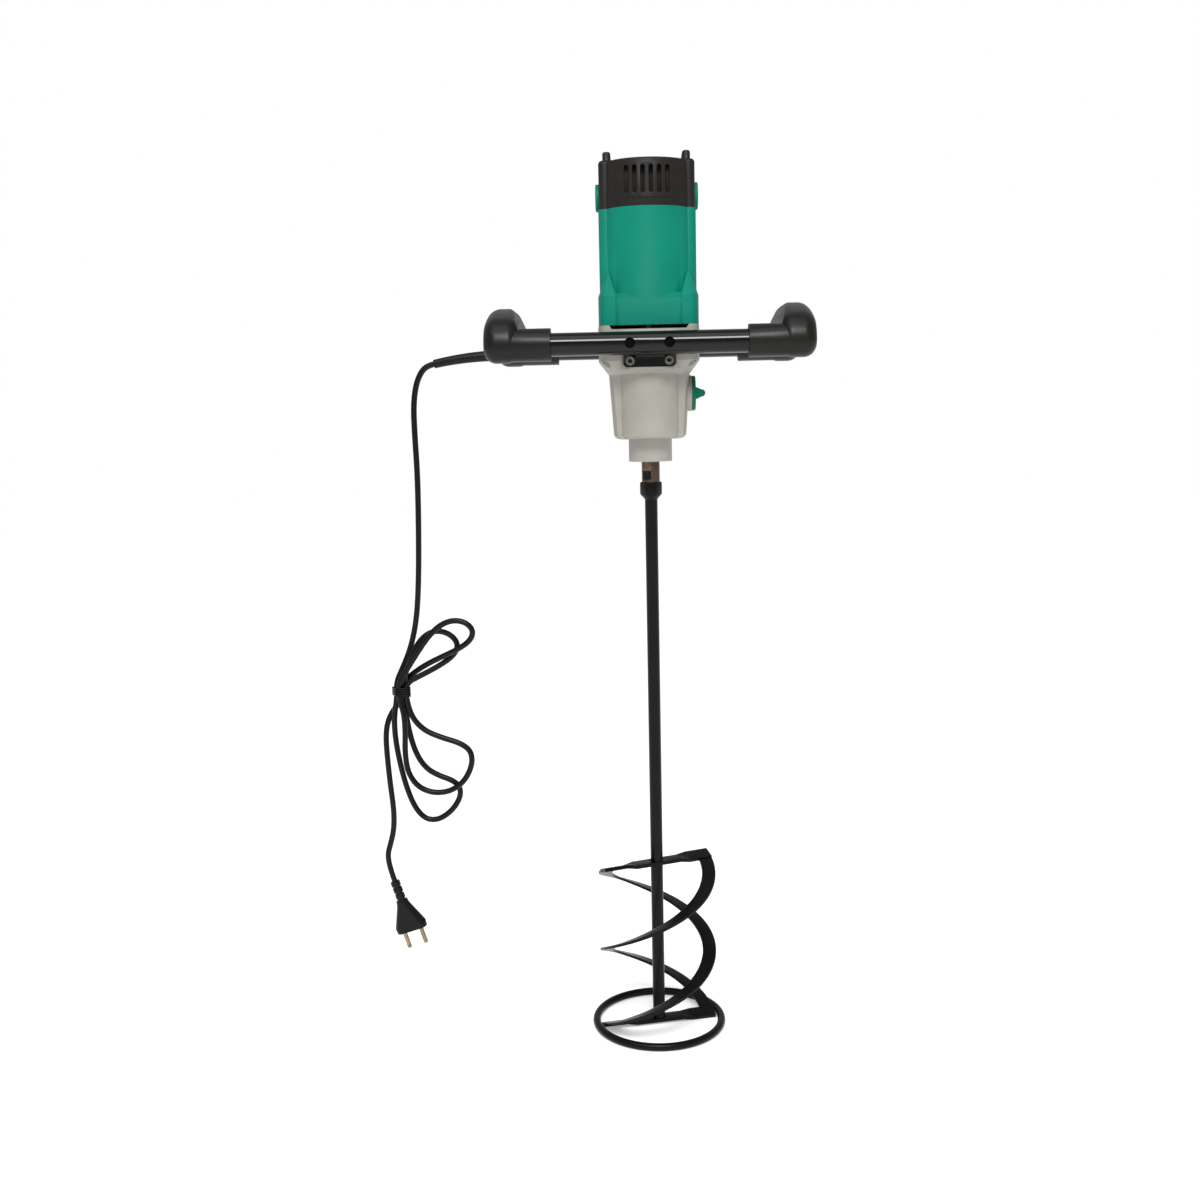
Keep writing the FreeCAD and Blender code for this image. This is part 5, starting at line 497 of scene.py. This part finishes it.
def cord_route():
    """Every point of the cord's route, in metres."""
    runs = []
    for index, (x, y) in enumerate(TIE_STRANDS):
        run = [Vector((x, y, TIE_TOP_Z)), Vector((x, y, TIE_BOTTOM_Z))]
        runs.append(run if index % 2 == 0 else run[::-1])
    route = [Vector(point) for point in LEAD_ROUTE] + runs[0]
    for loop, run in zip(HANK_LOOPS, runs[1:]):
        route += hank_loop(route[-1], run[0], loop) + run
    route += [Vector(point) for point in TAIL_ROUTE]
    return [point * MM for point in route]


def tie_route():
    """Points of the wire wound tightly round the strands of the hank, in metres."""
    points = []
    stand_off = (sizes().cord_diameter / MM + TIE_WIRE) / 2
    for i in range(TIE_TURNS * TIE_TURN_POINTS + 1):
        turns = i / TIE_TURN_POINTS
        outward = Vector((math.cos(2 * math.pi * turns), math.sin(2 * math.pi * turns)))
        place = max((Vector(strand) for strand in TIE_STRANDS), key=outward.dot) + outward * stand_off
        points.append(Vector((place.x, place.y, TIE_START_Z + TIE_PITCH * turns)) * MM)
    return points


def smooth_tube(name, route, diameter, material):
    """Round tube along one smooth line, riding on the machine."""
    curve = bpy.data.curves.new(name, "CURVE")
    curve.dimensions = "3D"
    curve.bevel_depth = diameter / 2
    curve.bevel_resolution = TUBE_SIDES
    curve.resolution_u = TUBE_STEPS
    curve.use_fill_caps = True
    spline = curve.splines.new("NURBS")
    spline.points.add(len(route) - 1)
    for point, place in zip(spline.points, route):
        point.co = (*place, 1.0)
    spline.order_u = TUBE_ORDER
    spline.use_endpoint_u = True
    piece = bpy.data.objects.new(name, curve)
    bpy.context.scene.collection.objects.link(piece)
    dress(piece, material)
    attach(piece, "machine")
    return piece


class DRILL_OT_cord(bpy.types.Operator):
    """Mains cord with its hank, tie, strain relief and plug"""
    bl_idname = "drill.cord"
    bl_label = "Cord"

    def execute(self, context):
        route = cord_route()
        cord = smooth_tube("mains_cord", route, sizes().cord_diameter, cord_jacket())
        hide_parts("power_cord", "cord_hank", "cord_tail")
        tie = smooth_tube("cord_tie_wire", tie_route(), TIE_WIRE * MM, paddle_paint())
        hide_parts("cord_tie")
        plug = softened("plug_body", "machine", cord_jacket())
        softened("strain_relief", "machine", cord_jacket())
        dress(NODES["plug_pins"], plated_brass())
        return {"FINISHED"}


class DRILL_OT_stage(bpy.types.Operator):
    """Floor, lights and camera"""
    bl_idname = "drill.stage"
    bl_label = "Stage"

    def execute(self, context):
        scene = context.scene
        scene.view_settings.view_transform = "Standard"
        add_floor(scene)
        add_lights(scene)
        add_camera(scene)
        return {"FINISHED"}


def add_floor(scene):
    """Plain white floor under the paddle ring, lit a little from below as on a light table."""
    mesh = bpy.data.meshes.new("floor")
    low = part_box("paddle_ring")[0][2]
    corners = [(x * FLOOR_HALF, y * FLOOR_HALF, low) for x, y in ((-1, -1), (1, -1), (1, 1), (-1, 1))]
    mesh.from_pydata(corners, [], [(0, 1, 2, 3)])
    floor = bpy.data.objects.new("floor", mesh)
    scene.collection.objects.link(floor)
    dress(floor, finish_of("Lit white floor", "#FDFDFD", "#FCFCFC", 400, 0.9, 30, 0.01,
                           {"Emission Color": (1, 1, 1, 1), "Emission Strength": FLOOR_GLOW}))


def add_lights(scene):
    """White backdrop, an even dimmer room, a broad soft sun and two soft boxes above the camera."""
    world = bpy.data.worlds.new("white studio")
    scene.world = world
    world.use_nodes = True
    tree = world.node_tree
    tree.nodes.clear()
    backdrop = add_node(tree, "ShaderNodeLightPath").outputs["Is Camera Ray"]
    strength = add_node(tree, "ShaderNodeMapRange", None,
                        {"Value": backdrop, "To Min": ROOM_STRENGTH, "To Max": BACKDROP_STRENGTH})
    surroundings = add_node(tree, "ShaderNodeBackground", None,
                            {"Color": (1, 1, 1, 1), "Strength": strength.outputs["Result"]})
    add_node(tree, "ShaderNodeOutputWorld", None, {"Surface": surroundings.outputs["Background"]})
    sun = bpy.data.lights.new("sun", "SUN")
    sun.energy = SUN_STRENGTH
    sun.angle = SUN_WIDTH
    aim(scene, sun, SUN_PLACE)
    for side in (-1, 1):
        box = bpy.data.lights.new("soft_box", "AREA")
        box.shape = "RECTANGLE"
        box.size, box.size_y = SOFT_BOX_SIZE
        box.energy = SOFT_BOX_WATTS
        aim(scene, box, (side * SOFT_BOX_PLACE[0], *SOFT_BOX_PLACE[1:]))


def aim(scene, light, place):
    """Puts a light at a place and turns it to the gearbox."""
    lamp = bpy.data.objects.new(light.name, light)
    lamp.location = place
    lamp.rotation_euler = (Vector(LAMP_TARGET) - Vector(place)).to_track_quat("-Z", "Y").to_euler()
    scene.collection.objects.link(lamp)


def add_camera(scene):
    """Camera at the photograph's viewing point."""
    camera = bpy.data.cameras.new("camera")
    camera.sensor_width = CAMERA_SENSOR
    camera.lens = CAMERA_LENS
    camera.clip_end = CAMERA_REACH
    yaw = math.radians(CAMERA_YAW)
    pitch = math.radians(CAMERA_PITCH)
    roll = math.radians(CAMERA_ROLL)
    forward = Vector((math.sin(yaw) * math.cos(pitch), math.cos(yaw) * math.cos(pitch), -math.sin(pitch)))
    level = Vector((math.cos(yaw), -math.sin(yaw), 0))
    down = forward.cross(level)
    right = level * math.cos(roll) + down * math.sin(roll)
    down = down * math.cos(roll) - level * math.sin(roll)
    holder = bpy.data.objects.new("camera", camera)
    basis = Matrix((right, -down, -forward)).transposed()
    holder.matrix_world = Matrix.Translation(CAMERA_PLACE) @ basis.to_4x4()
    scene.collection.objects.link(holder)
    scene.camera = holder


OPERATORS = (
    DRILL_OT_motor, DRILL_OT_gearbox, DRILL_OT_handle, DRILL_OT_paddle, DRILL_OT_inside, DRILL_OT_cord,
    DRILL_OT_stage,
)


class DRILL_PT_panel(bpy.types.Panel):
    """Lists the drill's operators and settings"""
    bl_label = "Mixing drill"
    bl_idname = "DRILL_PT_panel"
    bl_space_type = "VIEW_3D"
    bl_region_type = "UI"
    bl_category = "Mixing drill"

    def draw(self, context):
        for settings in (context.scene.drill_colours, context.scene.drill_sizes):
            for name in settings.bl_rna.properties.keys():
                if name not in ("rna_type", "name"):
                    self.layout.prop(settings, name)
        for operator in OPERATORS:
            self.layout.operator(operator.bl_idname)


CLASSES = (DrillColours, DrillSizes) + OPERATORS + (DRILL_PT_panel,)


def register():
    for entry in CLASSES:
        bpy.utils.register_class(entry)
    bpy.types.Scene.drill_colours = bpy.props.PointerProperty(type=DrillColours)
    bpy.types.Scene.drill_sizes = bpy.props.PointerProperty(type=DrillSizes)


def unregister():
    del bpy.types.Scene.drill_sizes
    del bpy.types.Scene.drill_colours
    for entry in reversed(CLASSES):
        bpy.utils.unregister_class(entry)


def main():
    register()
    bpy.ops.drill.motor()
    bpy.ops.drill.gearbox()
    bpy.ops.drill.handle()
    bpy.ops.drill.paddle()
    bpy.ops.drill.inside()
    bpy.ops.drill.cord()
    bpy.ops.drill.stage()
    bpy.context.view_layer.update()


if __name__ == "__main__":
    main()
